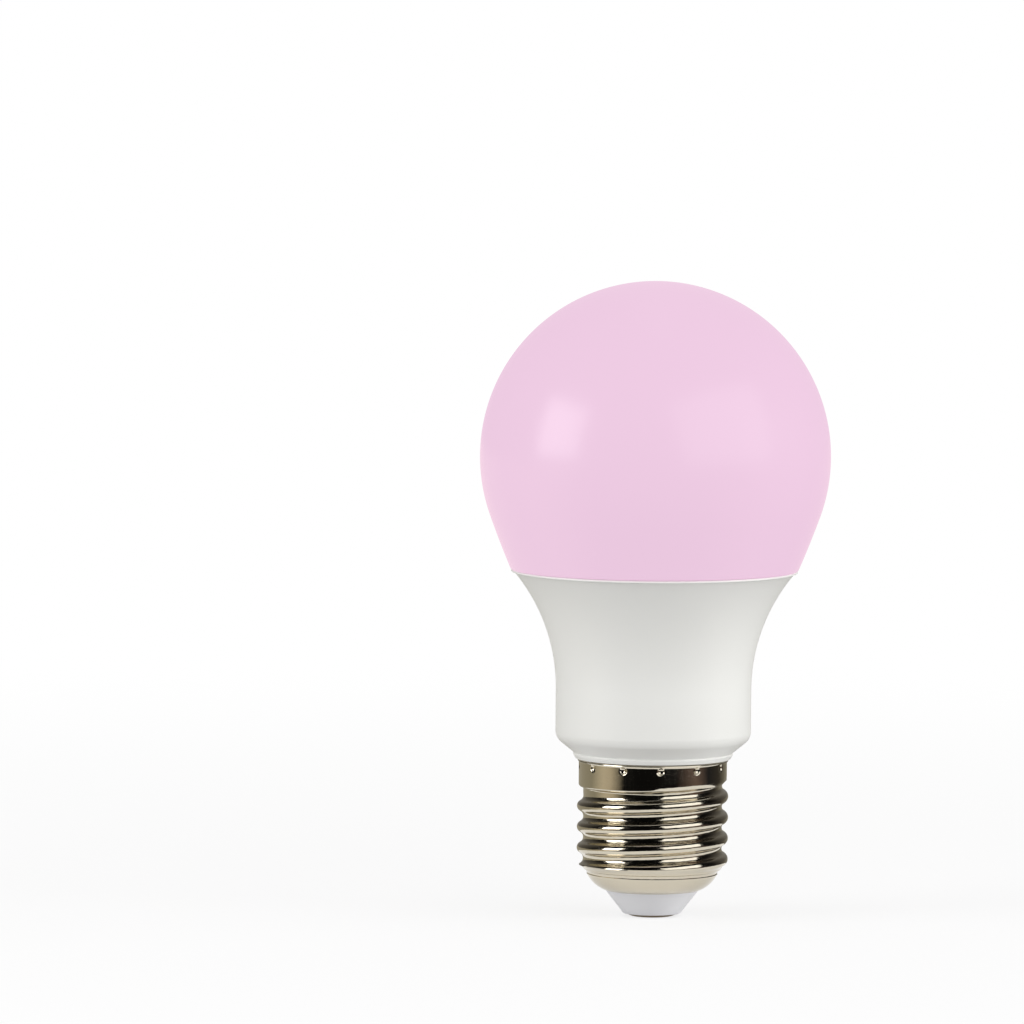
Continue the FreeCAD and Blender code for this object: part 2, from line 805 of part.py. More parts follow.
def capacitor_can(radius, length, x, foot_z):
    """Electrolytic can lying upright against the front of the board, with its rolled groove."""
    y = driver_front_y - solder_gap - radius
    can = rod(radius, x, y, foot_z, foot_z + length)
    can = can.makeFillet(can_groove_depth, can.Edges[0:1] + can.Edges[2:3])
    groove_z = foot_z + can_groove_rise
    groove_top_z = groove_z + can_groove_height
    can = can.cut(waist_tool(radius, radius - can_groove_depth, x, y, groove_z, groove_top_z))
    lead = cross_rod(fuse_lead_radius, x, foot_z + can_groove_height / 2, y, driver_front_y)
    return fuse_all([can, lead])


def core_block(width, height, depth):
    """A block centred on the transformer, at its distance from the board."""
    middle_z = core_z + core_height / 2
    middle_y = core_front_y + core_depth / 2
    return box(-width / 2, width / 2, middle_y - depth / 2, middle_y + depth / 2,
               middle_z - height / 2, middle_z + height / 2)


def make_transformer_core():
    """Ferrite core of two E halves, with a window each side of the middle leg."""
    core = core_block(core_width, core_height, core_depth)
    window_width = (core_width - 3 * core_leg_width) / 2
    middle_x = (core_leg_width + window_width) / 2
    windows = []
    for side in (-1, 1):
        window = core_block(window_width, core_window_height, core_depth)
        window.translate(FreeCAD.Vector(side * middle_x, 0, 0))
        windows.append(window)
    return cut_all(core, windows)


def sleeve(inner_width, inner_depth, outer_width, outer_depth, height):
    """A square sleeve round the transformer's middle leg."""
    outer = core_block(outer_width, height, outer_depth)
    return outer.cut(core_block(inner_width, height, inner_depth))


def make_transformer_bobbin():
    """Bobbin on the middle leg: a sleeve, two flanges and pins to the driver board."""
    inner_width = core_leg_width + 2 * bobbin_clearance
    inner_depth = core_depth + 2 * bobbin_clearance
    tube_width = inner_width + 2 * bobbin_wall
    tube_depth = inner_depth + 2 * bobbin_wall
    height = core_window_height - 2 * bobbin_clearance
    tube = sleeve(inner_width, inner_depth, tube_width, tube_depth, height)
    flanges = []
    for side in (-1, 1):
        plate = sleeve(inner_width, inner_depth, tube_width + 2 * bobbin_wall,
                       tube_depth + 2 * bobbin_flange, bobbin_wall)
        plate.translate(FreeCAD.Vector(0, 0, side * (height - bobbin_wall) / 2))
        flanges.append(plate)
    flange_y = driver_back_y + transformer_gap + bobbin_flange
    pins = []
    for side in (-1, 1):
        for level in (-1, 1):
            x = side * (inner_width / 2 + bobbin_wall)
            z = core_z + core_height / 2 + level * (height - bobbin_wall) / 2
            pins.append(cross_rod(transformer_pin_radius, x, z, driver_back_y, flange_y))
    return fuse_all([tube] + flanges + pins)


def make_transformer_winding():
    """Wound wire on the bobbin, as one taped block with rounded corners."""
    inner_width = core_leg_width + 2 * (bobbin_clearance + bobbin_wall)
    inner_depth = core_depth + 2 * (bobbin_clearance + bobbin_wall)
    height = core_window_height - 2 * (bobbin_clearance + bobbin_wall)
    window_width = (core_width - 3 * core_leg_width) / 2
    side_room = min(winding_thickness, window_width - bobbin_clearance * 2 - bobbin_wall)
    outer = core_block(inner_width + 2 * side_room, height, inner_depth + 2 * winding_thickness)
    uprights = [edge for edge in outer.Edges if edge.BoundBox.ZLength > height / 2]
    outer = outer.makeFillet(side_room / 2, uprights)
    return outer.cut(core_block(inner_width, height, inner_depth))


def make_film_capacitor():
    """Boxed film capacitor on the front of the tongue."""
    front_y = driver_front_y - solder_gap - film_capacitor_depth
    foot_z = tongue_foot_z + film_capacitor_rise
    half_width = film_capacitor_width / 2
    body = box(film_capacitor_x - half_width, film_capacitor_x + half_width,
               front_y, driver_front_y - solder_gap, foot_z, foot_z + film_capacitor_height)
    return body.makeFillet(film_capacitor_round, body.Edges)


def make_fuse_resistor():
    """Fusible resistor standing on its two leads, with thicker ends."""
    y = driver_front_y - solder_gap - fuse_radius
    fuse_z = tongue_foot_z + fuse_rise
    body = rod(fuse_radius, fuse_x, y, fuse_z, fuse_z + fuse_length)
    waist_z = fuse_z + fuse_length / 4
    waist_top_z = waist_z + fuse_length / 2
    body = body.cut(waist_tool(fuse_radius, fuse_waist_radius, fuse_x, y, waist_z, waist_top_z))
    leads = []
    top_z = fuse_z + fuse_length
    for z0, z1 in ((fuse_z - fuse_lead_length, fuse_z), (top_z, top_z + fuse_lead_length)):
        leads.append(rod(fuse_lead_radius, fuse_x, y, z0, z1))
    for z in (fuse_z - fuse_lead_length, fuse_z + fuse_length + fuse_lead_length):
        leads.append(cross_rod(fuse_lead_radius, fuse_x, z, y, driver_front_y))
    return fuse_all([body] + leads)


def make_filter_inductor():
    """Drum core inductor on the back of the tongue, with its winding between two flanges."""
    y = driver_back_y + solder_gap + inductor_radius
    inductor_z = tongue_foot_z + inductor_rise
    top_z = inductor_z + inductor_length
    drum = rod(inductor_radius, 0, y, inductor_z, top_z)
    waist_foot = inductor_z + inductor_flange
    waist_top = top_z - inductor_flange
    drum = drum.cut(waist_tool(inductor_radius, inductor_winding_radius, 0, y, waist_foot, waist_top))
    leads = [cross_rod(fuse_lead_radius, side * inductor_radius / 2, inductor_z + inductor_flange / 2,
                       driver_back_y, y) for side in (-1, 1)]
    return fuse_all([drum] + leads)


def surface_legs(x, z, half_width, leg_pitch, leg_count):
    """Bent legs on both sides of a flat part on the front of the board."""
    legs = []
    middle_y = driver_front_y - chip_depth / 2
    for side in (-1, 1):
        for index in range(leg_count):
            leg_z = z + (index - (leg_count - 1) / 2) * leg_pitch
            z0 = leg_z - chip_leg_width / 2
            z1 = leg_z + chip_leg_width / 2
            near = side * (half_width - chip_leg_thickness)
            knee = side * (half_width + chip_leg_reach / 2)
            toe = side * (half_width + chip_leg_reach)
            bent = side * (half_width + chip_leg_reach / 2 - chip_leg_thickness)
            arm = box(x + min(near, knee), x + max(near, knee), middle_y - chip_leg_thickness / 2,
                      middle_y + chip_leg_thickness / 2, z0, z1)
            drop = box(x + min(bent, knee), x + max(bent, knee), middle_y, driver_front_y, z0, z1)
            pad = box(x + min(bent, toe), x + max(bent, toe), driver_front_y - chip_leg_thickness,
                      driver_front_y, z0, z1)
            legs += [arm, drop, pad]
    return legs


def flat_part(width, height, depth, x, z, leg_pitch, leg_count):
    """Flat moulded part with bevelled sides and bent legs, on the front of the driver board."""
    body = box(x - width / 2, x + width / 2, driver_front_y - depth, driver_front_y - solder_gap,
               z - height / 2, z + height / 2)
    front_edges = [edge for edge in body.Edges if edge.BoundBox.YMax < driver_front_y - depth / 2]
    body = body.makeChamfer(depth / 5, front_edges)
    return fuse_all([body] + surface_legs(x, z, width / 2, leg_pitch, leg_count))


def make_bridge_rectifier():
    """Bridge rectifier with two legs on each side."""
    return flat_part(rectifier_width, rectifier_height, rectifier_depth, rectifier_x,
                     tongue_foot_z + rectifier_rise, 2 * chip_leg_pitch, 2)


def make_driver_chip():
    """Driver chip with four legs on each side."""
    return flat_part(chip_width, chip_height, chip_depth, chip_x, driver_top_z - chip_drop,
                     chip_leg_pitch, chip_leg_count)


def make_chip_resistors():
    """Row of chip resistors down the right edge of the driver board."""
    resistors = []
    for index in range(resistor_count):
        z = driver_shoulder_z + resistor_rise + index * resistor_pitch
        resistors.append(box(resistor_x - resistor_width / 2, resistor_x + resistor_width / 2,
                             driver_front_y - resistor_depth, driver_front_y,
                             z - resistor_height / 2, z + resistor_height / 2))
    return Part.makeCompound(resistors)


def make_diodes():
    """Column of moulded diodes on the back of the driver board, each with two end tabs."""
    diodes = []
    for index in range(diode_count):
        z0 = driver_shoulder_z + diode_rise + index * diode_pitch
        body = box(diode_x - diode_width / 2, diode_x + diode_width / 2, driver_back_y + solder_gap,
                   driver_back_y + diode_depth, z0, z0 + diode_height)
        back_edges = [edge for edge in body.Edges if edge.BoundBox.YMin > driver_back_y + diode_depth / 2]
        body = body.makeChamfer(diode_depth / 6, back_edges)
        tabs = box(diode_x - diode_tab_width / 2, diode_x + diode_tab_width / 2,
                   driver_back_y, driver_back_y + diode_tab_thickness,
                   z0 - diode_tab_reach, z0 + diode_height + diode_tab_reach)
        diodes.append(fuse_all([body, tabs]))
    return Part.makeCompound(diodes)


def make_wireless_board():
    """Small board with the radio, standing through the LED board's slot."""
    half_width = wireless_width / 2
    board = box(-half_width, half_width, wireless_y, wireless_back_y, wireless_foot_z, wireless_top_z)
    holes = [cross_rod(pin_width / math.sqrt(2) + solder_gap, x, wireless_pin_z, wireless_y, wireless_back_y)
             for x in pin_places(wireless_pin_count)]
    return cut_all(board, holes)


def make_wireless_shield():
    """Pressed shield can on the front of the wireless board."""
    half_width = shield_width / 2
    foot_z = wireless_foot_z + shield_rise
    can = box(-half_width, half_width, wireless_y - shield_depth, wireless_y, foot_z, foot_z + shield_height)
    front_edges = [edge for edge in can.Edges if edge.BoundBox.YMin < wireless_y - shield_depth / 2]
    return can.makeFillet(shield_round, front_edges)


def make_antenna():
    """Folded copper track at the top of the wireless board."""
    top_z = wireless_top_z - antenna_margin
    foot_z = top_z - antenna_height
    front_y = wireless_y - antenna_thickness
    strips = []
    for index in range(antenna_fold_count + 1):
        x = (index - antenna_fold_count / 2) * antenna_fold_pitch
        strips.append(box(x - antenna_line / 2, x + antenna_line / 2, front_y, wireless_y, foot_z, top_z))
        if index < antenna_fold_count:
            level = top_z - antenna_line if index % 2 == 0 else foot_z
            strips.append(box(x - antenna_line / 2, x + antenna_fold_pitch + antenna_line / 2,
                              front_y, wireless_y, level, level + antenna_line))
    return fuse_all(strips)


def make_link_pins():
    """Row of square pins from the driver board up through the LED board."""
    half = pin_width / 2
    pins = [box(x - half, x + half, driver_back_y, driver_back_y + pin_width,
                driver_top_z - link_pin_lap, board_top_z + link_pin_stand)
            for x in pin_places(link_pin_count)]
    return Part.makeCompound(pins)


def make_wireless_pins():
    """Row of square pins that joins the driver board and the wireless board."""
    half = pin_width / 2
    pins = [box(x - half, x + half,
                driver_front_y - wireless_pin_stand, wireless_back_y + wireless_pin_stand,
                wireless_pin_z - half, wireless_pin_z + half)
            for x in pin_places(wireless_pin_count)]
    return Part.makeCompound(pins)


def bent_path(points, radius):
    """Straight runs joined by tangent arcs, through a list of corner points."""
    edges = []
    start = points[0]
    for before, corner, after in zip(points, points[1:], points[2:]):
        back = (before - corner).normalize()
        onward = (after - corner).normalize()
        half_angle = back.getAngle(onward) / 2
        setback = radius / math.tan(half_angle)
        begin = corner + back * setback
        end = corner + onward * setback
        middle = corner + (back + onward).normalize() * (radius / math.sin(half_angle))
        between = middle + (corner - middle).normalize() * radius
        edges.append(Part.LineSegment(start, begin).toShape())
        edges.append(Part.Arc(begin, between, end).toShape())
        start = end
    edges.append(Part.LineSegment(start, points[-1]).toShape())
    return Part.Wire(edges)


def bent_lead(name, points, radius):
    """Round lead along a bent path, with its volume compared with section times length."""
    path = bent_path(points, lead_bend_radius)
    start = points[0]
    direction = (points[1] - points[0]).normalize()
    section = Part.Wire(Part.Circle(start, direction, radius).toShape())
    lead = path.makePipeShell([section], True, False)
    expected = math.pi * radius ** 2 * path.Length
    print(name, "bend radius", lead_bend_radius, "volume share", round(lead.Volume / expected, 4))
    return lead


def make_live_lead():
    """Lead from the front of the tongue down into the stem of the centre contact."""
    y = driver_front_y - solder_gap - lead_radius
    entry_z = stem_top_z + stem_rise
    run = tongue_foot_z - entry_z
    top_z = tongue_foot_z + live_lead_rise
    points = [FreeCAD.Vector(0, y, top_z), FreeCAD.Vector(0, y, tongue_foot_z - lead_radius),
              FreeCAD.Vector(0, 0, entry_z + run / 4), FreeCAD.Vector(0, 0, stem_top_z + stem_clearance)]
    insulation = bent_lead("live lead", points, lead_radius)
    bare = rod(lead_wire_radius, 0, 0, stem_top_z - eyelet_depth + stem_clearance, stem_top_z + stem_rise)
    joint = cross_rod(lead_wire_radius, 0, top_z - lead_radius, y, driver_front_y)
    return fuse_all([insulation, bare, joint])


def make_neutral_lead():
    """Lead from the back of the tongue, round the foot of the neck and up its notch."""
    y = driver_back_y + solder_gap + lead_radius
    cross_z = neck_foot_z - neutral_cross_drop
    wire_x = neutral_wire_radius_of_path()
    top_z = tongue_foot_z + neutral_lead_rise
    points = [FreeCAD.Vector(neutral_lead_x, y, top_z), FreeCAD.Vector(neutral_lead_x, y, cross_z),
              FreeCAD.Vector(wire_x, 0, cross_z), FreeCAD.Vector(wire_x, 0, neck_foot_z + neutral_rise)]
    insulation = bent_lead("neutral lead", points, lead_radius)
    bare_x = wire_x + lead_radius - lead_wire_radius
    bare_foot = neck_foot_z + neutral_rise - lead_radius
    bare = rod(lead_wire_radius, bare_x, 0, bare_foot, bare_foot + neutral_bare_length)
    joint = cross_rod(lead_wire_radius, neutral_lead_x, top_z - lead_radius, driver_back_y, y)
    return fuse_all([insulation, bare, joint])


def make_parts():
    """All pieces of the lamp, by name."""
    return {
        "diffuser": make_diffuser(),
        "diffuser_seal": make_diffuser_seal(),
        "housing": make_housing(),
        "screw_shell": make_screw_shell(),
        "cap_insulator": make_cap_insulator(),
        "center_contact": make_center_contact(),
        "heat_sink": make_heat_sink(),
        "led_board": make_led_board(),
        "board_screws": make_board_screws(),
        "cool_white_leds": make_white_leds(0.0),
        "warm_white_leds": make_white_leds(360.0 / white_led_count),
        "color_leds": make_color_leds(),
        "driver_board": make_driver_board(),
        "input_capacitor": capacitor_can(input_capacitor_radius, input_capacitor_length,
                                         input_capacitor_x, driver_shoulder_z + input_capacitor_rise),
        "output_capacitor": capacitor_can(output_capacitor_radius, output_capacitor_length,
                                          output_capacitor_x, driver_shoulder_z + output_capacitor_rise),
        "transformer_core": make_transformer_core(),
        "transformer_bobbin": make_transformer_bobbin(),
        "transformer_winding": make_transformer_winding(),
        "film_capacitor": make_film_capacitor(),
        "fuse_resistor": make_fuse_resistor(),
        "filter_inductor": make_filter_inductor(),
        "bridge_rectifier": make_bridge_rectifier(),
        "driver_chip": make_driver_chip(),
        "chip_resistors": make_chip_resistors(),
        "diodes": make_diodes(),
        "wireless_board": make_wireless_board(),
        "wireless_shield": make_wireless_shield(),
        "antenna": make_antenna(),
        "link_pins": make_link_pins(),
        "wireless_pins": make_wireless_pins(),
        "live_lead": make_live_lead(),
        "neutral_lead": make_neutral_lead(),
    }


def export_parts(parts):
    """Write one STEP file for each piece."""
    os.makedirs("parts", exist_ok=True)
    for name, shape in parts.items():
        shape.exportStep(os.path.join("parts", name + ".step"))
        print(name, "solids", len(shape.Solids), "valid", shape.isValid(), "volume", round(shape.Volume, 2))


export_parts(make_parts())
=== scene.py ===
"""Smart LED lamp with a 27 mm screw cap: its finishes, its turned outer pieces, the studio and the camera.

The pieces' sizes are in millimetres, and heights are from the foot of the centre contact.
"""
import json
import logging
import math
from dataclasses import dataclass, field
from enum import Enum
from typing import Iterable, Mapping, Sequence, Union

import bmesh
import bpy
from bpy.types import ID, Material, Mesh, Node, NodeOutputs, NodeSocket, NodeTree, Object
from mathutils import Matrix, Vector


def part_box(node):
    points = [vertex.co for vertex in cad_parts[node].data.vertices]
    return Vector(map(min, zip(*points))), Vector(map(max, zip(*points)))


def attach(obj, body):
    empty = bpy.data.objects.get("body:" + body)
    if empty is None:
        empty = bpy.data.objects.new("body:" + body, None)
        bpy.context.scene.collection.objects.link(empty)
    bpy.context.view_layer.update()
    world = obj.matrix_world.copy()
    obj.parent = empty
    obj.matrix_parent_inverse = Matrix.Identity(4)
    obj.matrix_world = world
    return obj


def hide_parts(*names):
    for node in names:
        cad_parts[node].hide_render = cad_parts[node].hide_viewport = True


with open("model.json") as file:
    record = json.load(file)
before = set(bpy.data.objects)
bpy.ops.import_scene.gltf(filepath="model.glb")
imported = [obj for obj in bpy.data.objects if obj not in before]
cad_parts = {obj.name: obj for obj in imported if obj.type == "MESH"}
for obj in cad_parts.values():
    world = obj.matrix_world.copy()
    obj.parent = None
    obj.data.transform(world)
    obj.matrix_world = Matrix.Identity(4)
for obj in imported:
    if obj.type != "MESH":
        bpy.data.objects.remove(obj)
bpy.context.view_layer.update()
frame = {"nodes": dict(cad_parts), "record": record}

Inputs = Union[Mapping[Union[str, int], object], Sequence[object]]
Pair = tuple[float, float]
Triple = tuple[float, float, float]
Tones = Sequence[tuple[float, str]]

BODY = "root"
MM = 0.001
# Radius in millimetres under which a point of a section lies on the axis
ON_AXIS = 1e-6
# Distance in metres under which two points of a mesh are one
SAME_POINT = 1e-7
# Most values of a noise pattern lie between these two
NOISE_LOW, NOISE_HIGH = 0.3, 0.7
# A wave pattern of scale 1 has its bands this far apart
WAVE_SPACING = math.pi / 10
EVEN: Triple = (1.0, 1.0, 1.0)
WHITE = (1.0, 1.0, 1.0, 1.0)
log = logging.getLogger("lamp")


def linear(colour: str) -> tuple[float, float, float, float]:
    """Linear colour of an sRGB hex value.

    Args:
        colour: Six hex digits after a hash sign.

    Returns:
        Red, green, blue and an alpha of 1.
    """
    parts = [int(colour[start:start + 2], 16) / 255 for start in (1, 3, 5)]
    light = [part / 12.92 if part <= 0.04045 else ((part + 0.055) / 1.055) ** 2.4 for part in parts]
    return (*light, 1.0)


def direction(turn: float, tilt: float) -> Vector:
    """Unit vector that points away from the lamp.

    Args:
        turn: Angle from the front towards the right, in radians.
        tilt: Angle above the horizon, in radians.

    Returns:
        The vector.
    """
    return Vector((math.sin(turn) * math.cos(tilt), -math.cos(turn) * math.cos(tilt), math.sin(tilt)))


def show(name: str, data: ID) -> Object:
    """Makes an object and links it to the scene.

    Args:
        name: Its name.
        data: Its mesh, light or camera.

    Returns:
        The object.
    """
    made = bpy.data.objects.new(name, data)
    bpy.context.scene.collection.objects.link(made)
    return made


def add_node(tree: NodeTree, kind: str, inputs: Inputs = (), **settings: object) -> Node:
    """Adds a node to a tree with its settings and links.

    Args:
        tree: Shader or geometry tree.
        kind: Type name of the node.
        inputs: Values by socket name or number, or in order. A node stands for its first output.
        **settings: Properties of the node.

    Returns:
        The new node.
    """
    node = tree.nodes.new(kind)
    for name, value in settings.items():
        setattr(node, name, value)
    pairs = inputs.items() if isinstance(inputs, Mapping) else enumerate(inputs)
    for key, value in pairs:
        if isinstance(value, Node):
            value = value.outputs[0]
        if isinstance(value, NodeSocket):
            tree.links.new(value, node.inputs[key])
        else:
            node.inputs[key].default_value = value
    return node


class BandForm(Enum):
    """Section of the bands in a pattern."""

    ROUND = "SIN"
    STEPPED = "SAW"


class Weave(Enum):
    """Plane in which a board's glass cloth lies."""

    FLAT = "XY"
    UPRIGHT = "XZ"


@dataclass(frozen=True)
class Finish:
    """A surface finish: a colour and a gloss. Its kinds add the marks that the making leaves."""

    name: str
    colour: str
    roughness: float

    def material(self) -> Material:
        """Material of this finish, made when it is first asked for.

        Returns:
            The material.
        """
        made = bpy.data.materials.get(self.name)
        if made:
            return made
        made = bpy.data.materials.new(self.name)
        made.use_nodes = True
        made.diffuse_color = linear(self.colour)
        shader = made.node_tree.nodes["Principled BSDF"]
        shader.inputs["Base Color"].default_value = linear(self.colour)
        shader.inputs["Roughness"].default_value = self.roughness
        self.mark(made.node_tree, shader)
        return made

    def mark(self, tree: NodeTree, shader: Node) -> None:
        """Adds the marks of this kind of finish.

        Args:
            tree: The material's tree.
            shader: Its principled shader.
        """
        raise NotImplementedError(self.name)

    def shade(self, tree: NodeTree, shader: Node, height: Node, share: float) -> None:
        """Lets the base colour drift darker where a pattern is low.

        Args:
            tree: The material's tree.
            shader: Its principled shader.
            height: Node whose output is the pattern, from 0 to 1.
            share: How far the lowest place lies under the colour.
        """
        base = linear(self.colour)
        dark = (*(part * (1 - share) for part in base[:3]), 1.0)
        mix = add_node(tree, "ShaderNodeMix", {"Factor": height, "A": dark, "B": base}, data_type="RGBA")
        tree.links.new(mix.outputs["Result"], shader.inputs["Base Color"])

    def cloud(self, tree: NodeTree, patch_mm: float, detail: float = 3.0, stretch: Triple = EVEN) -> Node:
        """Adds a soft irregular pattern.

        Args:
            tree: The material's tree.
            patch_mm: Size of a patch.
            detail: How many finer layers it has.
            stretch: How much finer it is along each axis. A share under 1 draws it out into lines.

        Returns:
            The node whose output is the pattern.
        """
        where = add_node(tree, "ShaderNodeTexCoord").outputs["Object"]
        finer = tuple(share / (patch_mm * MM) for share in stretch)
        where = add_node(tree, "ShaderNodeMapping", {"Vector": where, "Scale": finer})
        return add_node(tree, "ShaderNodeTexNoise", {"Vector": where, "Scale": 1.0, "Detail": detail})

    def bands(self, tree: NodeTree, axis: str, spacing_mm: float, form: BandForm = BandForm.ROUND) -> Node:
        """Adds even bands across an axis.

        Args:
            tree: The material's tree.
            axis: X, Y or Z.
            spacing_mm: Distance from one band to the next.
            form: Their section.

        Returns:
            The node whose output is the pattern.
        """
        where = add_node(tree, "ShaderNodeTexCoord").outputs["Object"]
        scale = WAVE_SPACING / (spacing_mm * MM)
        return add_node(tree, "ShaderNodeTexWave", {"Vector": where, "Scale": scale}, bands_direction=axis,
                        wave_profile=form.value)

    def relief(self, tree: NodeTree, shader: Node, layers: Mapping[float, Node]) -> None:
        """Raises patterns on the surface, one over the other.

        Args:
            tree: The material's tree.
            shader: Its principled shader.
            layers: Patterns by their heights in millimetres.
        """
        under: dict[str, NodeSocket] = {}
        for height_mm, pattern in layers.items():
            bump = add_node(tree, "ShaderNodeBump", {
                "Height": pattern, "Distance": height_mm * MM, "Strength": 1.0, **under})
            under = {"Normal": bump.outputs["Normal"]}
        tree.links.new(under["Normal"], shader.inputs["Normal"])


@dataclass(frozen=True)
class Moulded(Finish):
    """Plastic, rubber, resin or ceramic from a mould or die: even, with a fine grain and faint clouds."""

    # The grit of a spark-eroded die is about 0.05 mm, and that of a powder 0.02 mm.
    # Both are drawn coarser, to show.
    grit_mm: float = 0.35
    grit_height_mm: float = 0.004
    ior: float = 1.5
    patch_mm: float = 18.0
    patch_share: float = 0.02

    def mark(self, tree: NodeTree, shader: Node) -> None:
        """Adds the grain and the clouds.

        Args:
            tree: The material's tree.
            shader: Its principled shader.
        """
        shader.inputs["IOR"].default_value = self.ior
        self.shade(tree, shader, self.cloud(tree, self.patch_mm), self.patch_share)
        self.relief(tree, shader, {self.grit_height_mm: self.cloud(tree, self.grit_mm, detail=2.0)})


@dataclass(frozen=True)
class OpalPolycarbonate(Moulded):
    """Blown opal polycarbonate: a satin skin over a milky wall, with a painted pink glow that evens out its
    shading.
    """

    # Painted glow: the colour and strength of an emission that stands in for light spreading inside the milky
    # wall and evens out the globe's shading
    painted_glow_colour: str = "#EECBE3"
    glow: float = 0.80
    skin_gloss: float = 0.24

    def mark(self, tree: NodeTree, shader: Node) -> None:
        """Adds the painted glow to the grain and the clouds.

        Args:
            tree: The material's tree.
            shader: Its principled shader.
        """
        super().mark(tree, shader)
        shader.inputs["Specular IOR Level"].default_value = self.skin_gloss
        shader.inputs["Emission Color"].default_value = linear(self.painted_glow_colour)
        shader.inputs["Emission Strength"].default_value = self.glow


@dataclass(frozen=True)
class ClearEpoxy(Finish):
    """Cast clear epoxy: glassy, with light passing through it and a faint bloom on its skin."""

    ior: float = 1.53
    clear: float = 0.7
    bloom_mm: float = 1.0
    bloom_share: float = 0.06
    ripple_mm: float = 0.8
    ripple_height_mm: float = 0.002

    def mark(self, tree: NodeTree, shader: Node) -> None:
        """Adds the clearness, the bloom and the meniscus ripples.

        Args:
            tree: The material's tree.
            shader: Its principled shader.
        """
        shader.inputs["IOR"].default_value = self.ior
        shader.inputs["Transmission Weight"].default_value = self.clear
        self.shade(tree, shader, self.cloud(tree, self.bloom_mm), self.bloom_share)
        self.relief(tree, shader, {self.ripple_height_mm: self.cloud(tree, self.ripple_mm, detail=1.0)})


@dataclass(frozen=True)
class WorkedMetal(Finish):
    """Bare or plated metal, with the lines that drawing or turning leaves and an uneven polish."""

    # Real lines lie about 0.02 mm apart. They are drawn coarser, to show.
    line_mm: float = 0.2
    stretch: Triple = (1.0, 1.0, 0.05)
    line_height_mm: float = 0.002
    polish_shares: Pair = (0.7, 1.6)
    tarnish_mm: float = 3.0
    tarnish_share: float = 0.06

    def mark(self, tree: NodeTree, shader: Node) -> None:
        """Adds the lines, the uneven polish and a breath of tarnish.

        Args:
            tree: The material's tree.
            shader: Its principled shader.
        """
        shader.inputs["Metallic"].default_value = 1.0
        self.shade(tree, shader, self.cloud(tree, self.tarnish_mm), self.tarnish_share)
        lines = self.cloud(tree, self.line_mm, stretch=self.stretch)
        self.polish(tree, shader, lines)
        self.relief(tree, shader, {self.line_height_mm: lines})

    def polish(self, tree: NodeTree, shader: Node, lines: Node) -> None:
        """Lets the gloss vary with the lines.

        Args:
            tree: The material's tree.
            shader: Its principled shader.
            lines: Node whose output is the pattern of the lines.
        """
        bright, dull = (self.roughness * share for share in self.polish_shares)
        polish = add_node(tree, "ShaderNodeMapRange", {
            "Value": lines, "From Min": NOISE_LOW, "From Max": NOISE_HIGH, "To Min": bright, "To Max": dull})
        tree.links.new(polish.outputs["Result"], shader.inputs["Roughness"])


@dataclass(frozen=True)
class RolledNickel(WorkedMetal):
    """Bright nickel on rolled sheet: a mirror with upright draw lines and the soft dents of the rollers."""

    dent_mm: float = 2.5
    dent_height_mm: float = 0.032
    dent_stretch: Triple = (1.0, 1.0, 3.0)

    def mark(self, tree: NodeTree, shader: Node) -> None:
        """Adds the soft dents of the rolling, the draw lines and an uneven polish.

        Args:
            tree: The material's tree.
            shader: Its principled shader.
        """
        shader.inputs["Metallic"].default_value = 1.0
        lines = self.cloud(tree, self.line_mm, stretch=self.stretch)
        dents = self.cloud(tree, self.dent_mm, detail=2.0, stretch=self.dent_stretch)
        self.polish(tree, shader, lines)
        self.relief(tree, shader, {self.dent_height_mm: dents, self.line_height_mm: lines})


@dataclass(frozen=True)
class MaskedBoard(Finish):
    """Circuit board under a printed solder mask: a satin lacquer that sinks a little into the glass weave."""

    weave: Weave = Weave.UPRIGHT
    weave_mm: float = 0.5
    weave_share: float = 0.12
    weave_height_mm: float = 0.004
    ior: float = 1.55
    wave_mm: float = 2.0
    wave_height_mm: float = 0.01

    def mark(self, tree: NodeTree, shader: Node) -> None:
        """Adds the weave of the glass cloth and the soft waves of the lacquer.

        Args:
            tree: The material's tree.
            shader: Its principled shader.
        """
        shader.inputs["IOR"].default_value = self.ior
        threads = [self.bands(tree, axis, self.weave_mm) for axis in self.weave.value]
        weave = add_node(tree, "ShaderNodeMath", threads, operation="MULTIPLY")
        self.shade(tree, shader, weave, self.weave_share)
        waves = self.cloud(tree, self.wave_mm)
        self.relief(tree, shader, {self.weave_height_mm: weave, self.wave_height_mm: waves})


@dataclass(frozen=True)
class WoundTape(Finish):
    """Thin tape wound in layers: a glossy film whose overlapping edges show as fine steps."""

    # The film's edges lie about 0.1 mm apart. They are drawn coarser, to show.
    step_mm: float = 0.8
    step_share: float = 0.15
    step_height_mm: float = 0.03
    crease_mm: float = 1.5
    crease_height_mm: float = 0.02
    ior: float = 1.57

    def mark(self, tree: NodeTree, shader: Node) -> None:
        """Adds the steps at the edges of the layers and the creases of the film.

        Args:
            tree: The material's tree.
            shader: Its principled shader.
        """
        shader.inputs["IOR"].default_value = self.ior
        steps = self.bands(tree, "Z", self.step_mm, form=BandForm.STEPPED)
        self.shade(tree, shader, steps, self.step_share)
        creases = self.cloud(tree, self.crease_mm)
        self.relief(tree, shader, {self.step_height_mm: steps, self.crease_height_mm: creases})


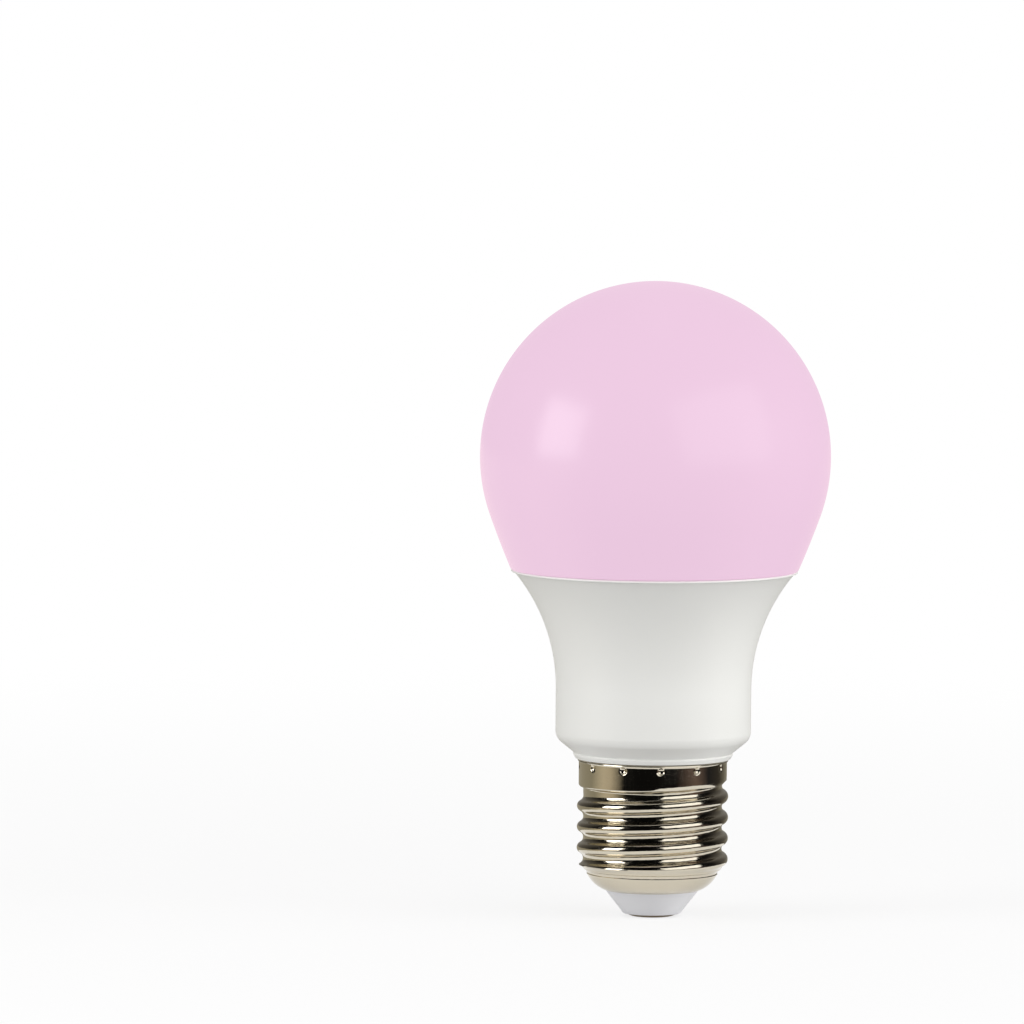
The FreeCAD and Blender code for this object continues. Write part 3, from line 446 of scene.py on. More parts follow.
class Finishes(Enum):
    """The lamp's finishes."""

    # Blown opal polycarbonate: a dim pink base under a satin skin, with a painted pink glow that evens out
    # its shading.
    DIFFUSER = OpalPolycarbonate("opal_polycarbonate", "#75636F", 0.24, ior=1.58, patch_mm=25.0,
                                 patch_share=0.015, grit_mm=0.5, grit_height_mm=0.002)
    # Injection-moulded polycarbonate from a spark-eroded mould: an even off-white satin.
    HOUSING = Moulded("moulded_polycarbonate", "#EFEFEB", 0.42, ior=1.58)
    # Bright nickel on rolled sheet: a warm mirror, broken up by the dents of the rollers.
    CAP = RolledNickel("rolled_nickel", "#D9D1BF", 0.10, line_mm=0.25, line_height_mm=0.0006)
    # Pressed thermoset resin: a soft cool white with hardly any gloss.
    INSULATOR = Moulded("pressed_thermoset", "#F0F0F3", 0.50, ior=1.55)
    # Pressed brass with a thin tin wash: dull and yellowish, with faint turned lines.
    CONTACT = WorkedMetal("tin_washed_brass", "#A8977C", 0.30)
    # Cast silicone rubber: milky and matt.
    SEAL = Moulded("cast_silicone", "#E6E6E4", 0.60, ior=1.41, patch_mm=4.0, patch_share=0.04)
    # Deep-drawn aluminium: soft and silvery, with upright draw lines.
    HEAT_SINK = WorkedMetal("drawn_aluminium", "#D6D8DB", 0.34)
    # White solder mask on an aluminium core: nearly glossless and very bright.
    LED_BOARD = MaskedBoard("white_solder_mask", "#F1F1EE", 0.45, weave=Weave.FLAT)
    # Zinc-plated steel: bluish silver with tool marks.
    SCREWS = WorkedMetal("zinc_plated_steel", "#C4C8CE", 0.28, line_mm=0.15, stretch=EVEN)
    # Phosphor powder set in clear silicone: a grainy yellow under a glossy drop.
    COOL_LEDS = Moulded("cool_white_phosphor", "#ECE58E", 0.25, patch_mm=0.2, patch_share=0.18, grit_mm=0.3,
                        grit_height_mm=0.003)
    # The same with more red phosphor: a grainy orange yellow.
    WARM_LEDS = Moulded("warm_white_phosphor", "#F0B75A", 0.25, patch_mm=0.2, patch_share=0.18, grit_mm=0.3,
                        grit_height_mm=0.003)
    # Clear cast epoxy over the colour chips: like a drop of glass.
    COLOUR_LEDS = ClearEpoxy("cast_clear_epoxy", "#E9EDF1", 0.08)
    # Green solder mask on glass-fibre board: a satin lacquer with a faint weave.
    DRIVER_BOARD = MaskedBoard("green_solder_mask", "#2F6B46", 0.30)
    # PVC sleeve shrunk on a can: dark, tight and glossy.
    SLEEVE = Moulded("shrunk_pvc_sleeve", "#2B2B31", 0.28, ior=1.53, patch_mm=3.0, patch_share=0.10,
                     grit_mm=0.8, grit_height_mm=0.01)
    # Sintered ferrite: stony dark grey with fine light and dark grains.
    FERRITE = Moulded("sintered_ferrite", "#47474A", 0.62, ior=1.80, patch_mm=0.25, patch_share=0.35,
                      grit_mm=0.2, grit_height_mm=0.01)
    # Moulded phenolic resin: near black and dull, with a trace of filler.
    BOBBIN = Moulded("moulded_phenolic", "#302E2C", 0.50, ior=1.60, patch_mm=0.5, patch_share=0.15)
    # Polyester tape wound round the wire: yellow film with stepped edges.
    WINDING = WoundTape("polyester_winding_tape", "#E3C448", 0.22)
    # Polyester box filled with resin: an even brick red satin.
    FILM_BOX = Moulded("moulded_polyester_box", "#B44E33", 0.35, ior=1.57)
    # Flameproof cement coating: chalky grey-blue with a rough skin.
    RESISTOR = Moulded("cement_coating", "#74949C", 0.75, ior=1.55, patch_mm=0.6, patch_share=0.15,
                       grit_mm=0.25, grit_height_mm=0.015)
    # Moulded epoxy with quartz filler: matt black with a fine spark-eroded grain.
    CHIPS = Moulded("moulded_epoxy", "#222223", 0.55, ior=1.55, patch_mm=0.4, patch_share=0.15, grit_mm=0.2,
                    grit_height_mm=0.006)
    # Blue solder mask on glass-fibre board: a satin lacquer with a faint weave.
    WIRELESS_BOARD = MaskedBoard("blue_solder_mask", "#244B87", 0.30)
    # Tinned steel sheet, pressed: a soft mirror with rolling lines.
    SHIELD = WorkedMetal("tinned_steel", "#CBCCCE", 0.24, line_mm=0.15, stretch=(0.05, 1.0, 1.0))
    # Etched copper track: bright orange with a breath of oxide.
    ANTENNA = WorkedMetal("etched_copper", "#D58E62", 0.36, stretch=EVEN, line_height_mm=0.004,
                          tarnish_share=0.18)
    # Tinned brass pins, drawn: pale and bright along their length.
    PINS = WorkedMetal("tinned_brass_wire", "#D2C9B0", 0.22)
    # Extruded silicone insulation: an even red with a soft sheen.
    LEADS = Moulded("extruded_silicone", "#C93A2E", 0.45, ior=1.41, patch_mm=5.0, patch_share=0.06)


class Profile:
    """Section of a turned piece in millimetres of radius and height, drawn one stretch at a time."""

    def __init__(self, radius: float, height: float) -> None:
        """Starts the section at a point."""
        self.points: list[Pair] = [(radius, height)]

    def line(self, radius: float, height: float, steps: int = 1) -> None:
        """Draws a straight stretch.

        Args:
            radius: Radius of its end.
            height: Height of its end.
            steps: How many edges it has.
        """
        start = Vector(self.points[-1])
        end = Vector((radius, height))
        self.points += [tuple(start.lerp(end, step / steps)) for step in range(1, steps + 1)]

    def arc(self, centre: Pair, radius: float, height: float, steps: int = 12) -> None:
        """Draws an arc of less than half a turn.

        Args:
            centre: Its centre.
            radius: Radius of its end.
            height: Height of its end.
            steps: How many edges it has.
        """
        middle = Vector(centre)
        start = Vector(self.points[-1]) - middle
        end = Vector((radius, height)) - middle
        sweep = (math.atan2(end.y, end.x) - math.atan2(start.y, start.x) + math.pi) % math.tau - math.pi
        for step in range(1, steps + 1):
            share = step / steps
            reach = start.length + (end.length - start.length) * share
            angle = math.atan2(start.y, start.x) + sweep * share
            self.points.append((middle.x + reach * math.cos(angle), middle.y + reach * math.sin(angle)))

    def corner(self, point: Pair, onward: Pair, bend: float, steps: int = 6) -> None:
        """Draws a straight stretch that ends in a rounded corner.

        Args:
            point: The corner.
            onward: Where the next stretch goes.
            bend: Radius of the round.
            steps: How many edges the round has.
        """
        corner = Vector(point)
        back = (Vector(self.points[-1]) - corner).normalized()
        ahead = (Vector(onward) - corner).normalized()
        half = back.angle(ahead) / 2
        begin = corner + back * (bend / math.tan(half))
        end = corner + ahead * (bend / math.tan(half))
        middle = corner + (back + ahead).normalized() * (bend / math.sin(half))
        self.line(*begin)
        self.arc(tuple(middle), *end, steps=steps)

    def step_out(self, low: Pair, high: Pair, steps: int = 6) -> None:
        """Draws two tangent arcs from an upright wall to a wider one above.

        Args:
            low: Foot of the step.
            high: Top of the step.
            steps: How many edges each arc has.
        """
        rise = high[0] - low[0]
        bend = (rise ** 2 + (high[1] - low[1]) ** 2) / (4 * rise)
        hollow = Vector((low[0] + bend, low[1]))
        bulge = Vector((high[0] - bend, high[1]))
        between = hollow + (bulge - hollow).normalized() * bend
        self.arc(tuple(hollow), *between, steps=steps)
        self.arc(tuple(bulge), *high, steps=steps)

    def turn(self, name: str, angles: Sequence[float]) -> Object:
        """Turns the closed section about the lamp's axis.

        Args:
            name: Name of the piece.
            angles: Angles of its columns, over one full turn.

        Returns:
            The piece, with its faces pointing outwards.
        """
        rings: list[list[int]] = []
        corners: list[Triple] = []
        for radius, height in self.points:
            if radius < ON_AXIS:
                rings.append([len(corners)] * len(angles))
                corners.append((0.0, 0.0, height * MM))
            else:
                rings.append(list(range(len(corners), len(corners) + len(angles))))
                corners += [(radius * math.cos(angle) * MM, radius * math.sin(angle) * MM, height * MM)
                            for angle in angles]
        faces: list[tuple[int, ...]] = []
        closing = rings[1:] + rings[:1] if self.points[0][0] > ON_AXIS else rings[1:]
        for here, there in zip(rings, closing):
            for column in range(len(angles)):
                beside = (column + 1) % len(angles)
                face = dict.fromkeys((here[column], here[beside], there[beside], there[column]))
                if len(face) > 2:
                    faces.append(tuple(face))
        mesh = bpy.data.meshes.new(name)
        mesh.from_pydata(corners, [], faces)
        return settle(mesh, name)


def settle(mesh: Mesh, name: str, crease: float = 35.0) -> Object:
    """Makes a mesh a finished piece: merged, facing outwards, smooth except at its creases.

    Args:
        mesh: The mesh.
        name: Name of the piece.
        crease: Angle in degrees above which an edge stays sharp.

    Returns:
        The piece, linked to the scene.
    """
    work = bmesh.new()
    work.from_mesh(mesh)
    bmesh.ops.remove_doubles(work, verts=work.verts, dist=SAME_POINT)
    bmesh.ops.recalc_face_normals(work, faces=work.faces)
    work.to_mesh(mesh)
    work.free()
    mesh.polygons.foreach_set("use_smooth", [True] * len(mesh.polygons))
    mesh.set_sharp_from_angle(angle=math.radians(crease))
    return show(name, mesh)


def even_angles(count: int) -> list[float]:
    """Angles of evenly spaced columns."""
    return [index * math.tau / count for index in range(count)]


def place(piece: Object, node: str, finish: Finishes) -> None:
    """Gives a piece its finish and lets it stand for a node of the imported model.

    Args:
        piece: The piece.
        node: Name of the node.
        finish: Its finish.
    """
    piece.data.materials.clear()
    piece.data.materials.append(finish.value.material())
    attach(piece, BODY)
    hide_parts(node)
    log.info("%s: %d faces", piece.name, len(piece.data.polygons))


@dataclass
class Diffuser:
    """Globe of the lamp, with its neck, the foot that covers the rim and the spigot in its seat."""

    wall: float = 1.2
    # Degrees below the globe's middle
    neck_start: float = 19.7
    seam_gap: float = 0.15
    edge_radius: float = 24.9
    spigot_radius: float = 21.9
    foot_thickness: float = 1.2
    columns: int = 240

    def build(self) -> None:
        """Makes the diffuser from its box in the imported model."""
        low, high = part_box("diffuser")
        top = high.z / MM
        globe = high.x / MM
        spigot_foot = low.z / MM
        edge_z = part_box("housing")[1].z / MM + self.seam_gap
        centre = Vector((0.0, top - globe))
        angle = math.radians(-self.neck_start)
        normal = Vector((math.cos(angle), math.sin(angle)))
        tangent = centre + normal * globe
        chord = Vector((self.edge_radius, edge_z)) - tangent
        bend = -chord.length_squared / (2 * chord.dot(normal))
        neck = tangent - normal * bend
        inner = tangent - normal * self.wall
        reach = abs(bend - self.wall)
        foot_top = edge_z + self.foot_thickness
        foot_inner = neck.x + math.copysign(1.0, bend) * math.sqrt(reach ** 2 - (foot_top - neck.y) ** 2)
        section = Profile(0.0, top)
        section.arc((0.0, centre.y), *tangent, steps=72)
        section.arc(tuple(neck), self.edge_radius, edge_z, steps=16)
        section.line(self.spigot_radius, edge_z)
        section.line(self.spigot_radius, spigot_foot)
        section.line(self.spigot_radius - self.wall, spigot_foot)
        section.line(self.spigot_radius - self.wall, foot_top)
        section.line(foot_inner, foot_top)
        section.arc(tuple(neck), *inner, steps=8)
        section.arc((0.0, centre.y), 0.0, top - self.wall, steps=36)
        place(section.turn("opal_globe", even_angles(self.columns)), "diffuser", Finishes.DIFFUSER)


@dataclass
class Housing:
    """Moulded housing: rim, bell, barrel, chamfer and lip outside, seat, bore and neck inside."""

    wall: float = 1.3
    rim_height: float = 0.45
    rim_round: float = 0.2
    rim_step: float = 0.5
    rim_slope: float = 0.1
    rim_slope_round: float = 0.08
    land: float = 2.7
    seat_depth: float = 2.1
    bell_height: float = 20.25
    barrel_radius: float = 16.9
    barrel_length: float = 8.4
    barrel_round: float = 2.4
    chamfer_height: float = 2.65
    lip_radius: float = 13.85
    lip_draft: float = 0.45
    lip_round: float = 0.15
    lip_recess: float = 0.2
    lip_recess_round: float = 0.1
    lip_swell: float = 0.05
    lip_swell_height: float = 0.1
    lip_swell_round: float = 0.2
    foot_gap: float = 0.04
    neck_top_radius: float = 12.4
    neck_step: float = 24.35
    neck_radius: float = 11.5
    neck_bore: float = 10.0
    throat_drop: float = 0.8
    columns: int = 240

    def build(self) -> None:
        """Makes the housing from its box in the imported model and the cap's shoulder."""
        low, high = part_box("housing")
        seam = high.z / MM
        rim = high.x / MM
        neck_foot = low.z / MM
        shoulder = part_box("screw_shell")[1].z / MM
        bell_top = seam - self.rim_height
        bell_foot = bell_top - self.bell_height
        barrel_foot = bell_foot - self.barrel_length
        lip_top = barrel_foot - self.chamfer_height
        bell_radius = rim - self.rim_step
        rise = bell_radius - self.barrel_radius
        bend = (rise ** 2 + self.bell_height ** 2) / (2 * rise)
        centre = (self.barrel_radius + bend, bell_foot)
        bore = self.barrel_radius - self.wall
        seat_floor = seam - self.seat_depth
        seat_inner = centre[0] - math.sqrt((bend + self.wall) ** 2 - (seat_floor - bell_foot) ** 2)
        seat = rim - self.land
        lip_foot = self.lip_radius - self.lip_draft
        step_top = self.neck_step + self.neck_top_radius - self.neck_radius
        section = Profile(seat, seam)
        section.corner((rim, seam), (rim, bell_top), self.rim_round)
        slope = (rim, bell_top + self.rim_slope)
        section.corner(slope, (bell_radius, bell_top), self.rim_slope_round, steps=3)
        section.line(bell_radius, bell_top)
        section.arc(centre, self.barrel_radius, bell_foot, steps=40)
        recess = (self.lip_radius - self.lip_recess, lip_top)
        swell = (self.lip_radius + self.lip_swell, lip_top - self.lip_swell_height)
        foot = shoulder + self.foot_gap
        section.corner((self.barrel_radius, barrel_foot), recess, self.barrel_round, steps=12)
        section.corner(recess, swell, self.lip_recess_round, steps=4)
        section.corner(swell, (lip_foot, foot), self.lip_swell_round, steps=5)
        section.corner((lip_foot, foot), (self.neck_top_radius, foot), self.lip_round)
        section.line(self.neck_top_radius, foot)
        section.line(self.neck_top_radius, step_top)
        section.line(self.neck_radius, self.neck_step)
        section.line(self.neck_radius, neck_foot)
        section.line(self.neck_bore, neck_foot)
        section.line(self.neck_bore, shoulder - self.throat_drop)
        section.line(bore, barrel_foot + self.wall / 2)
        section.line(bore, bell_foot)
        section.arc(centre, seat_inner, seat_floor, steps=12)
        section.line(seat, seat_floor)
        place(section.turn("white_housing", even_angles(self.columns)), "housing", Finishes.HOUSING)


@dataclass
class ScrewShell:
    """Rolled sheet cap: a plain drawn blank is turned, then its thread and dimples are rolled into it."""

    sheet: float = 0.3
    skirt_radius: float = 12.82
    skirt_foot: float = 22.0
    skirt_step: float = 0.95
    edge_flare: float = 0.2
    edge_height: float = 0.72
    edge_round: float = 0.28
    edge_drop: float = 0.04
    crest_radius: float = 13.1
    root_radius: float = 12.0
    pitch: float = 3.629
    # Height at which the crest passes the right side, from where the next four count turns
    lowest_crest: float = 10.0
    full_start: float = -0.4
    full_end: float = 3.0
    run_out: float = 0.5
    groove_run_out: float = 0.2
    ledge_radius: float = 11.3
    ledge_foot: float = 7.3
    ledge_wall: float = 0.3
    ledge_height: float = 1.2
    lead_in_radius: float = 14.0
    lead_in_height: float = 2.5
    bowl_middle: Pair = (10.25, 5.85)
    hole_radius: float = 8.2
    dimple_count: int = 12
    # Degrees from the front
    dimple_phase: float = 5.6
    dimple_z: float = 26.2
    ball_radius: float = 0.8
    dimple_depth: float = 0.35
    lead_in_blend: float = 0.3
    root_blend: float = 0.1
    dimple_blend: float = 0.12
    curve_steps: int = 24
    sector_columns: int = 36
    even_share: float = 0.35
    row_height: float = 0.15

    def build(self) -> None:
        """Turns the blank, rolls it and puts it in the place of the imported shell."""
        low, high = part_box("screw_shell")
        place(self.roll(self.blank(low.z / MM, high.z / MM)), "screw_shell", Finishes.CAP)

    def angles(self) -> list[float]:
        """Angles of the columns, closer together at each dimple.

        Returns:
            The angles in radians, over one full turn.
        """
        sector = math.tau / self.dimple_count
        first = self.first_dimple()
        columns = []
        for index in range(self.dimple_count):
            for column in range(self.sector_columns):
                share = 2 * column / self.sector_columns - 1
                offset = sector / 2 * (self.even_share * share + (1 - self.even_share) * share ** 3)
                columns.append(first + index * sector + offset)
        return columns

    def first_dimple(self) -> float:
        """Angle of the first dimple, which its phase gives from the front."""
        return math.radians(self.dimple_phase) - math.pi / 2

    def bowl(self, foot: float) -> tuple[Vector, float]:
        """Centre and radius of the bowl's arc.

        Args:
            foot: Height of the bowl's foot.

        Returns:
            The centre, as radius and height, and the arc's radius.
        """
        start, between, end = (self.ledge_radius, self.ledge_foot), self.bowl_middle, (self.hole_radius, foot)
        rows = []
        for point in (between, end):
            squares = point[0] ** 2 - start[0] ** 2 + point[1] ** 2 - start[1] ** 2
            rows.append((2 * (point[0] - start[0]), 2 * (point[1] - start[1]), squares))
        (a, b, e), (c, d, f) = rows
        scale = a * d - b * c
        centre = Vector(((e * d - b * f) / scale, (a * f - e * c) / scale))
        return centre, (Vector(start) - centre).length

    def blank(self, foot: float, shoulder: float) -> Object:
        """Turns the drawn blank: a thin closed wall with no thread.

        Args:
            foot: Height of the bowl's foot.
            shoulder: Height of the skirt's top edge.

        Returns:
            The blank, with the attribute inset at the points of its inner face.
        """
        centre, reach = self.bowl(foot)
        section = Profile(self.hole_radius, foot)
        section.arc(tuple(centre), self.ledge_radius, self.ledge_foot, steps=14)
        low = (self.root_radius, self.ledge_foot + self.ledge_height)
        section.line(self.ledge_radius, self.ledge_foot + self.ledge_wall, steps=3)
        section.step_out((self.ledge_radius, self.ledge_foot + self.ledge_wall), low, steps=5)
        rows = round((self.skirt_foot - low[1]) / self.row_height)
        section.line(self.root_radius, self.skirt_foot, steps=rows)
        high = (self.skirt_radius, self.skirt_foot + self.skirt_step)
        section.step_out((self.root_radius, self.skirt_foot), high, steps=6)
        section.line(self.skirt_radius, self.dimple_z - self.ball_radius, steps=3)
        section.line(self.skirt_radius, self.dimple_z + self.ball_radius / 2, steps=14)
        edge = shoulder - self.edge_drop
        flare_foot = edge - self.edge_height
        section.line(self.skirt_radius, flare_foot, steps=3)
        rim = self.skirt_radius + self.edge_flare
        rise = self.edge_height - self.edge_round
        bend = (self.edge_flare ** 2 + rise ** 2) / (2 * self.edge_flare)
        section.arc((self.skirt_radius + bend, flare_foot), rim, edge - self.edge_round, steps=6)
        section.arc((rim - self.edge_round, edge - self.edge_round), rim - self.edge_round, edge, steps=5)
        outer = len(section.points)
        section.line(rim - self.sheet, edge)
        section.line(self.skirt_radius - self.sheet, flare_foot)
        section.line(self.skirt_radius - self.sheet, high[1], steps=8)
        section.line(self.root_radius - self.sheet, self.skirt_foot, steps=3)
        section.line(self.root_radius - self.sheet, low[1], steps=rows // 3)
        inner_ledge = self.ledge_radius - self.sheet
        inner_z = centre.y - math.sqrt((reach - self.sheet) ** 2 - (inner_ledge - centre.x) ** 2)
        section.line(inner_ledge, inner_z, steps=2)
        hole_z = centre.y - math.sqrt((reach - self.sheet) ** 2 - (self.hole_radius - centre.x) ** 2)
        section.arc(tuple(centre), self.hole_radius, hole_z, steps=4)
        piece = section.turn("rolled_shell", self.angles())
        digits = 4
        inner = {(round(radius, digits), round(height, digits)) for radius, height in section.points[outer:]}
        places = [(round(math.hypot(*vertex.co.xy) / MM, digits), round(vertex.co.z / MM, digits))
                  for vertex in piece.data.vertices]
        inset = piece.data.attributes.new("inset", "FLOAT", "POINT")
        inset.data.foreach_set("value", [self.sheet * MM if place in inner else 0.0 for place in places])
        return piece

    def thread_lift(self, share: float) -> float:
        """Height of the thread's section as a share of its depth.

        Args:
            share: Way from the crest, 0, to the root, 1.

        Returns:
            1 at the crest and 0 at the root. Two tangent arcs of one radius lie between them.
        """
        depth = self.crest_radius - self.root_radius
        half = self.pitch / 2
        bend = (depth ** 2 + half ** 2) / (4 * depth)
        if share <= 0.5:
            return (depth - bend + math.sqrt(bend ** 2 - (share * half) ** 2)) / depth
        return (bend - math.sqrt(bend ** 2 - ((1 - share) * half) ** 2)) / depth

    def roll(self, blank: Object) -> Object:
        """Runs the rolling tree on the blank and takes its result as a plain mesh.

        Args:
            blank: The drawn blank.

        Returns:
            The rolled shell.
        """
        sizes = {
            "Pitch": self.pitch * MM,
            "Root radius": self.root_radius * MM,
            "Thread depth": (self.crest_radius - self.root_radius) * MM,
            "Lowest crest": self.lowest_crest * MM,
            "First full turn": self.full_start,
            "Last full turn": self.full_end,
            "Run-out": self.run_out,
            "Groove run-out": self.groove_run_out,
            "Ledge radius": self.ledge_radius * MM,
            "Ledge top": (self.ledge_foot + self.ledge_wall) * MM,
            "Lead-in radius": self.lead_in_radius * MM,
            "Lead-in height": self.lead_in_height * MM,
            "Dimple angle": math.tau / self.dimple_count,
            "Dimple phase": self.first_dimple(),
            "Dimple height": self.dimple_z * MM,
            "Ball radius": self.ball_radius * MM,
            "Dimple depth": self.dimple_depth * MM,
        }
        tree = self.rolling_tree(sizes)
        modifier = blank.modifiers.new("rolling", "NODES")
        modifier.node_group = tree
        for item in tree.interface.items_tree:
            if item.item_type == "SOCKET" and item.in_out == "INPUT" and item.name in sizes:
                modifier[item.identifier] = sizes[item.name]
        view = bpy.context.evaluated_depsgraph_get()
        mesh = bpy.data.meshes.new_from_object(blank.evaluated_get(view))
        bpy.data.objects.remove(blank)
        return settle(mesh, "rolled_cap", crease=50.0)

    def rolling_tree(self, names: Iterable[str]) -> NodeTree:
        """Builds the tree that moves each point of the blank in or out along its radius.

        Args:
            names: Names of its inputs for sizes.

        Returns:
            The tree.
        """
        tree = bpy.data.node_groups.new("roll_thread_and_dimples", "GeometryNodeTree")
        sockets = tree.interface
        sockets.new_socket("Geometry", in_out="INPUT", socket_type="NodeSocketGeometry")
        for name in names:
            sockets.new_socket(name, in_out="INPUT", socket_type="NodeSocketFloat")
        sockets.new_socket("Geometry", in_out="OUTPUT", socket_type="NodeSocketGeometry")
        given = add_node(tree, "NodeGroupInput").outputs
        point = add_node(tree, "ShaderNodeSeparateXYZ", [add_node(tree, "GeometryNodeInputPosition")]).outputs
        angle = add_node(tree, "ShaderNodeMath", [point["Y"], point["X"]], operation="ARCTAN2")
        square = add_node(tree, "ShaderNodeMath", [point["X"], point["X"]], operation="MULTIPLY")
        square = add_node(tree, "ShaderNodeMath", [point["Y"], point["Y"], square], operation="MULTIPLY_ADD")
        radius = add_node(tree, "ShaderNodeMath", [square], operation="SQRT")
        inset = add_node(tree, "GeometryNodeInputNamedAttribute", {"Name": "inset"}, data_type="FLOAT")
        outer = add_node(tree, "ShaderNodeMath", [radius, inset], operation="ADD")
        threaded = self.thread_nodes(tree, given, angle, point["Z"], outer)
        pressed = self.dimple_nodes(tree, given, angle, point["Z"], radius)
        rolled = add_node(tree, "ShaderNodeMath", [threaded, pressed], operation="SUBTRACT")
        rolled = add_node(tree, "ShaderNodeMath", [rolled, inset], operation="SUBTRACT")
        scale = add_node(tree, "ShaderNodeMath", [rolled, radius], operation="DIVIDE")
        across = add_node(tree, "ShaderNodeMath", [point["X"], scale], operation="MULTIPLY")
        deep = add_node(tree, "ShaderNodeMath", [point["Y"], scale], operation="MULTIPLY")
        moved = add_node(tree, "ShaderNodeCombineXYZ", [across, deep, point["Z"]])
        above = add_node(tree, "ShaderNodeMath", [point["Z"], given["Ledge top"]], operation="GREATER_THAN")
        rolling = add_node(tree, "GeometryNodeSetPosition",
                           {"Geometry": given["Geometry"], "Selection": above, "Position": moved})
        real = add_node(tree, "GeometryNodeRealizeInstances", [rolling])
        nickel = Finishes.CAP.value.material()
        dressed = add_node(tree, "GeometryNodeSetMaterial", {"Geometry": real, "Material": nickel})
        add_node(tree, "NodeGroupOutput", [dressed])
        return tree

    def thread_nodes(self, tree: NodeTree, given: NodeOutputs, angle: Node,
                     height: NodeSocket, outer: Node) -> Node:
        """Adds the nodes that raise the right-handed thread, which runs out smoothly at both ends.

        Args:
            tree: The rolling tree.
            given: The tree's inputs.
            angle: Angle of a point about the axis.
            height: Height of a point.
            outer: Radius of the blank's outer face there.

        Returns:
            The node whose output is the radius of the outer face with its thread.
        """
        turn = add_node(tree, "ShaderNodeMath", [angle, math.tau], operation="DIVIDE")
        over = add_node(tree, "ShaderNodeMath", [height, given["Lowest crest"]], operation="SUBTRACT")
        rises = add_node(tree, "ShaderNodeMath", [over, given["Pitch"]], operation="DIVIDE")
        along = add_node(tree, "ShaderNodeMath", [rises, turn], operation="SUBTRACT")
        crest = add_node(tree, "ShaderNodeMath", [along], operation="ROUND")
        away = add_node(tree, "ShaderNodeMath", [along, crest], operation="SUBTRACT")
        away = add_node(tree, "ShaderNodeMath", [away], operation="ABSOLUTE")
        away = add_node(tree, "ShaderNodeMath", [away, 2.0], operation="MULTIPLY")
        section = add_node(tree, "ShaderNodeFloatCurve", {"Value": away})
        curve = section.mapping.curves[0]
        for index in range(1, self.curve_steps):
            curve.points.new(index / self.curve_steps, self.thread_lift(index / self.curve_steps))
        curve.points[0].location = (0.0, 1.0)
        curve.points[-1].location = (1.0, 0.0)
        section.mapping.update()
        turns = add_node(tree, "ShaderNodeMath", [turn, crest], operation="ADD")
        first, last, run_out = given["First full turn"], given["Last full turn"], given["Run-out"]
        before = add_node(tree, "ShaderNodeMath", [first, run_out], operation="SUBTRACT")
        after = add_node(tree, "ShaderNodeMath", [last, run_out], operation="ADD")
        start = add_node(tree, "ShaderNodeMapRange", {"Value": turns, "From Min": before, "From Max": first},
                         interpolation_type="SMOOTHSTEP")
        end = add_node(tree, "ShaderNodeMapRange", {"Value": turns, "From Min": after, "From Max": last},
                       interpolation_type="SMOOTHSTEP")
        full = add_node(tree, "ShaderNodeMath", [start, end], operation="MULTIPLY")
        full = add_node(tree, "ShaderNodeMath", [full, section], operation="MULTIPLY")
        depth, root = given["Thread depth"], given["Root radius"]
        ridge = add_node(tree, "ShaderNodeMath", [full, depth, root], operation="MULTIPLY_ADD")
        top = add_node(tree, "ShaderNodeMath", [given["Ledge top"], given["Lead-in height"]], operation="ADD")
        limit = add_node(tree, "ShaderNodeMapRange", {
            "Value": height, "From Min": given["Ledge top"], "From Max": top, "To Min": given["Ledge radius"],
            "To Max": given["Lead-in radius"]}, interpolation_type="SMOOTHSTEP")
        blend, lead_in = self.root_blend * MM, self.lead_in_blend * MM
        kept = add_node(tree, "ShaderNodeMath", [ridge, limit, lead_in], operation="SMOOTH_MIN")
        raised = add_node(tree, "ShaderNodeMath", [outer, kept, blend], operation="SMOOTH_MAX")
        below = add_node(tree, "ShaderNodeMath", [along], operation="FLOOR")
        below = add_node(tree, "ShaderNodeMath", [turn, below], operation="ADD")
        past = add_node(tree, "ShaderNodeMath", [last, given["Groove run-out"]], operation="ADD")
        shallow = add_node(tree, "ShaderNodeMapRange", {"Value": below, "From Min": last, "From Max": past},
                           interpolation_type="SMOOTHSTEP")
        open_share = add_node(tree, "ShaderNodeMath", [shallow, section], operation="ADD")
        groove = add_node(tree, "ShaderNodeMath", [open_share, depth, root], operation="MULTIPLY_ADD")
        return add_node(tree, "ShaderNodeMath", [raised, groove, blend], operation="SMOOTH_MIN")

    def dimple_nodes(self, tree: NodeTree, given: NodeOutputs, angle: Node,
                     height: NodeSocket, radius: Node) -> Node:
        """Adds the nodes that press a ball into the skirt at each dimple.

        Args:
            tree: The rolling tree.
            given: The tree's inputs.
            angle: Angle of a point about the axis.
            height: Height of a point.
            radius: Radius of a point.

        Returns:
            The node whose output is how deep the point is pressed.
        """
        sector, ball = given["Dimple angle"], given["Ball radius"]
        shifted = add_node(tree, "ShaderNodeMath", [angle, given["Dimple phase"]], operation="SUBTRACT")
        sectors = add_node(tree, "ShaderNodeMath", [shifted, sector], operation="DIVIDE")
        nearest = add_node(tree, "ShaderNodeMath", [sectors], operation="ROUND")
        aside = add_node(tree, "ShaderNodeMath", [sectors, nearest], operation="SUBTRACT")
        aside = add_node(tree, "ShaderNodeMath", [aside, sector], operation="MULTIPLY")
        aside = add_node(tree, "ShaderNodeMath", [aside, radius], operation="MULTIPLY")
        above = add_node(tree, "ShaderNodeMath", [height, given["Dimple height"]], operation="SUBTRACT")
        square = add_node(tree, "ShaderNodeMath", [aside, aside], operation="MULTIPLY")
        square = add_node(tree, "ShaderNodeMath", [above, above, square], operation="MULTIPLY_ADD")
        whole = add_node(tree, "ShaderNodeMath", [ball, ball], operation="MULTIPLY")
        left = add_node(tree, "ShaderNodeMath", [whole, square], operation="SUBTRACT")
        left = add_node(tree, "ShaderNodeMath", [left, 0.0], operation="MAXIMUM")
        reach = add_node(tree, "ShaderNodeMath", [left], operation="SQRT")
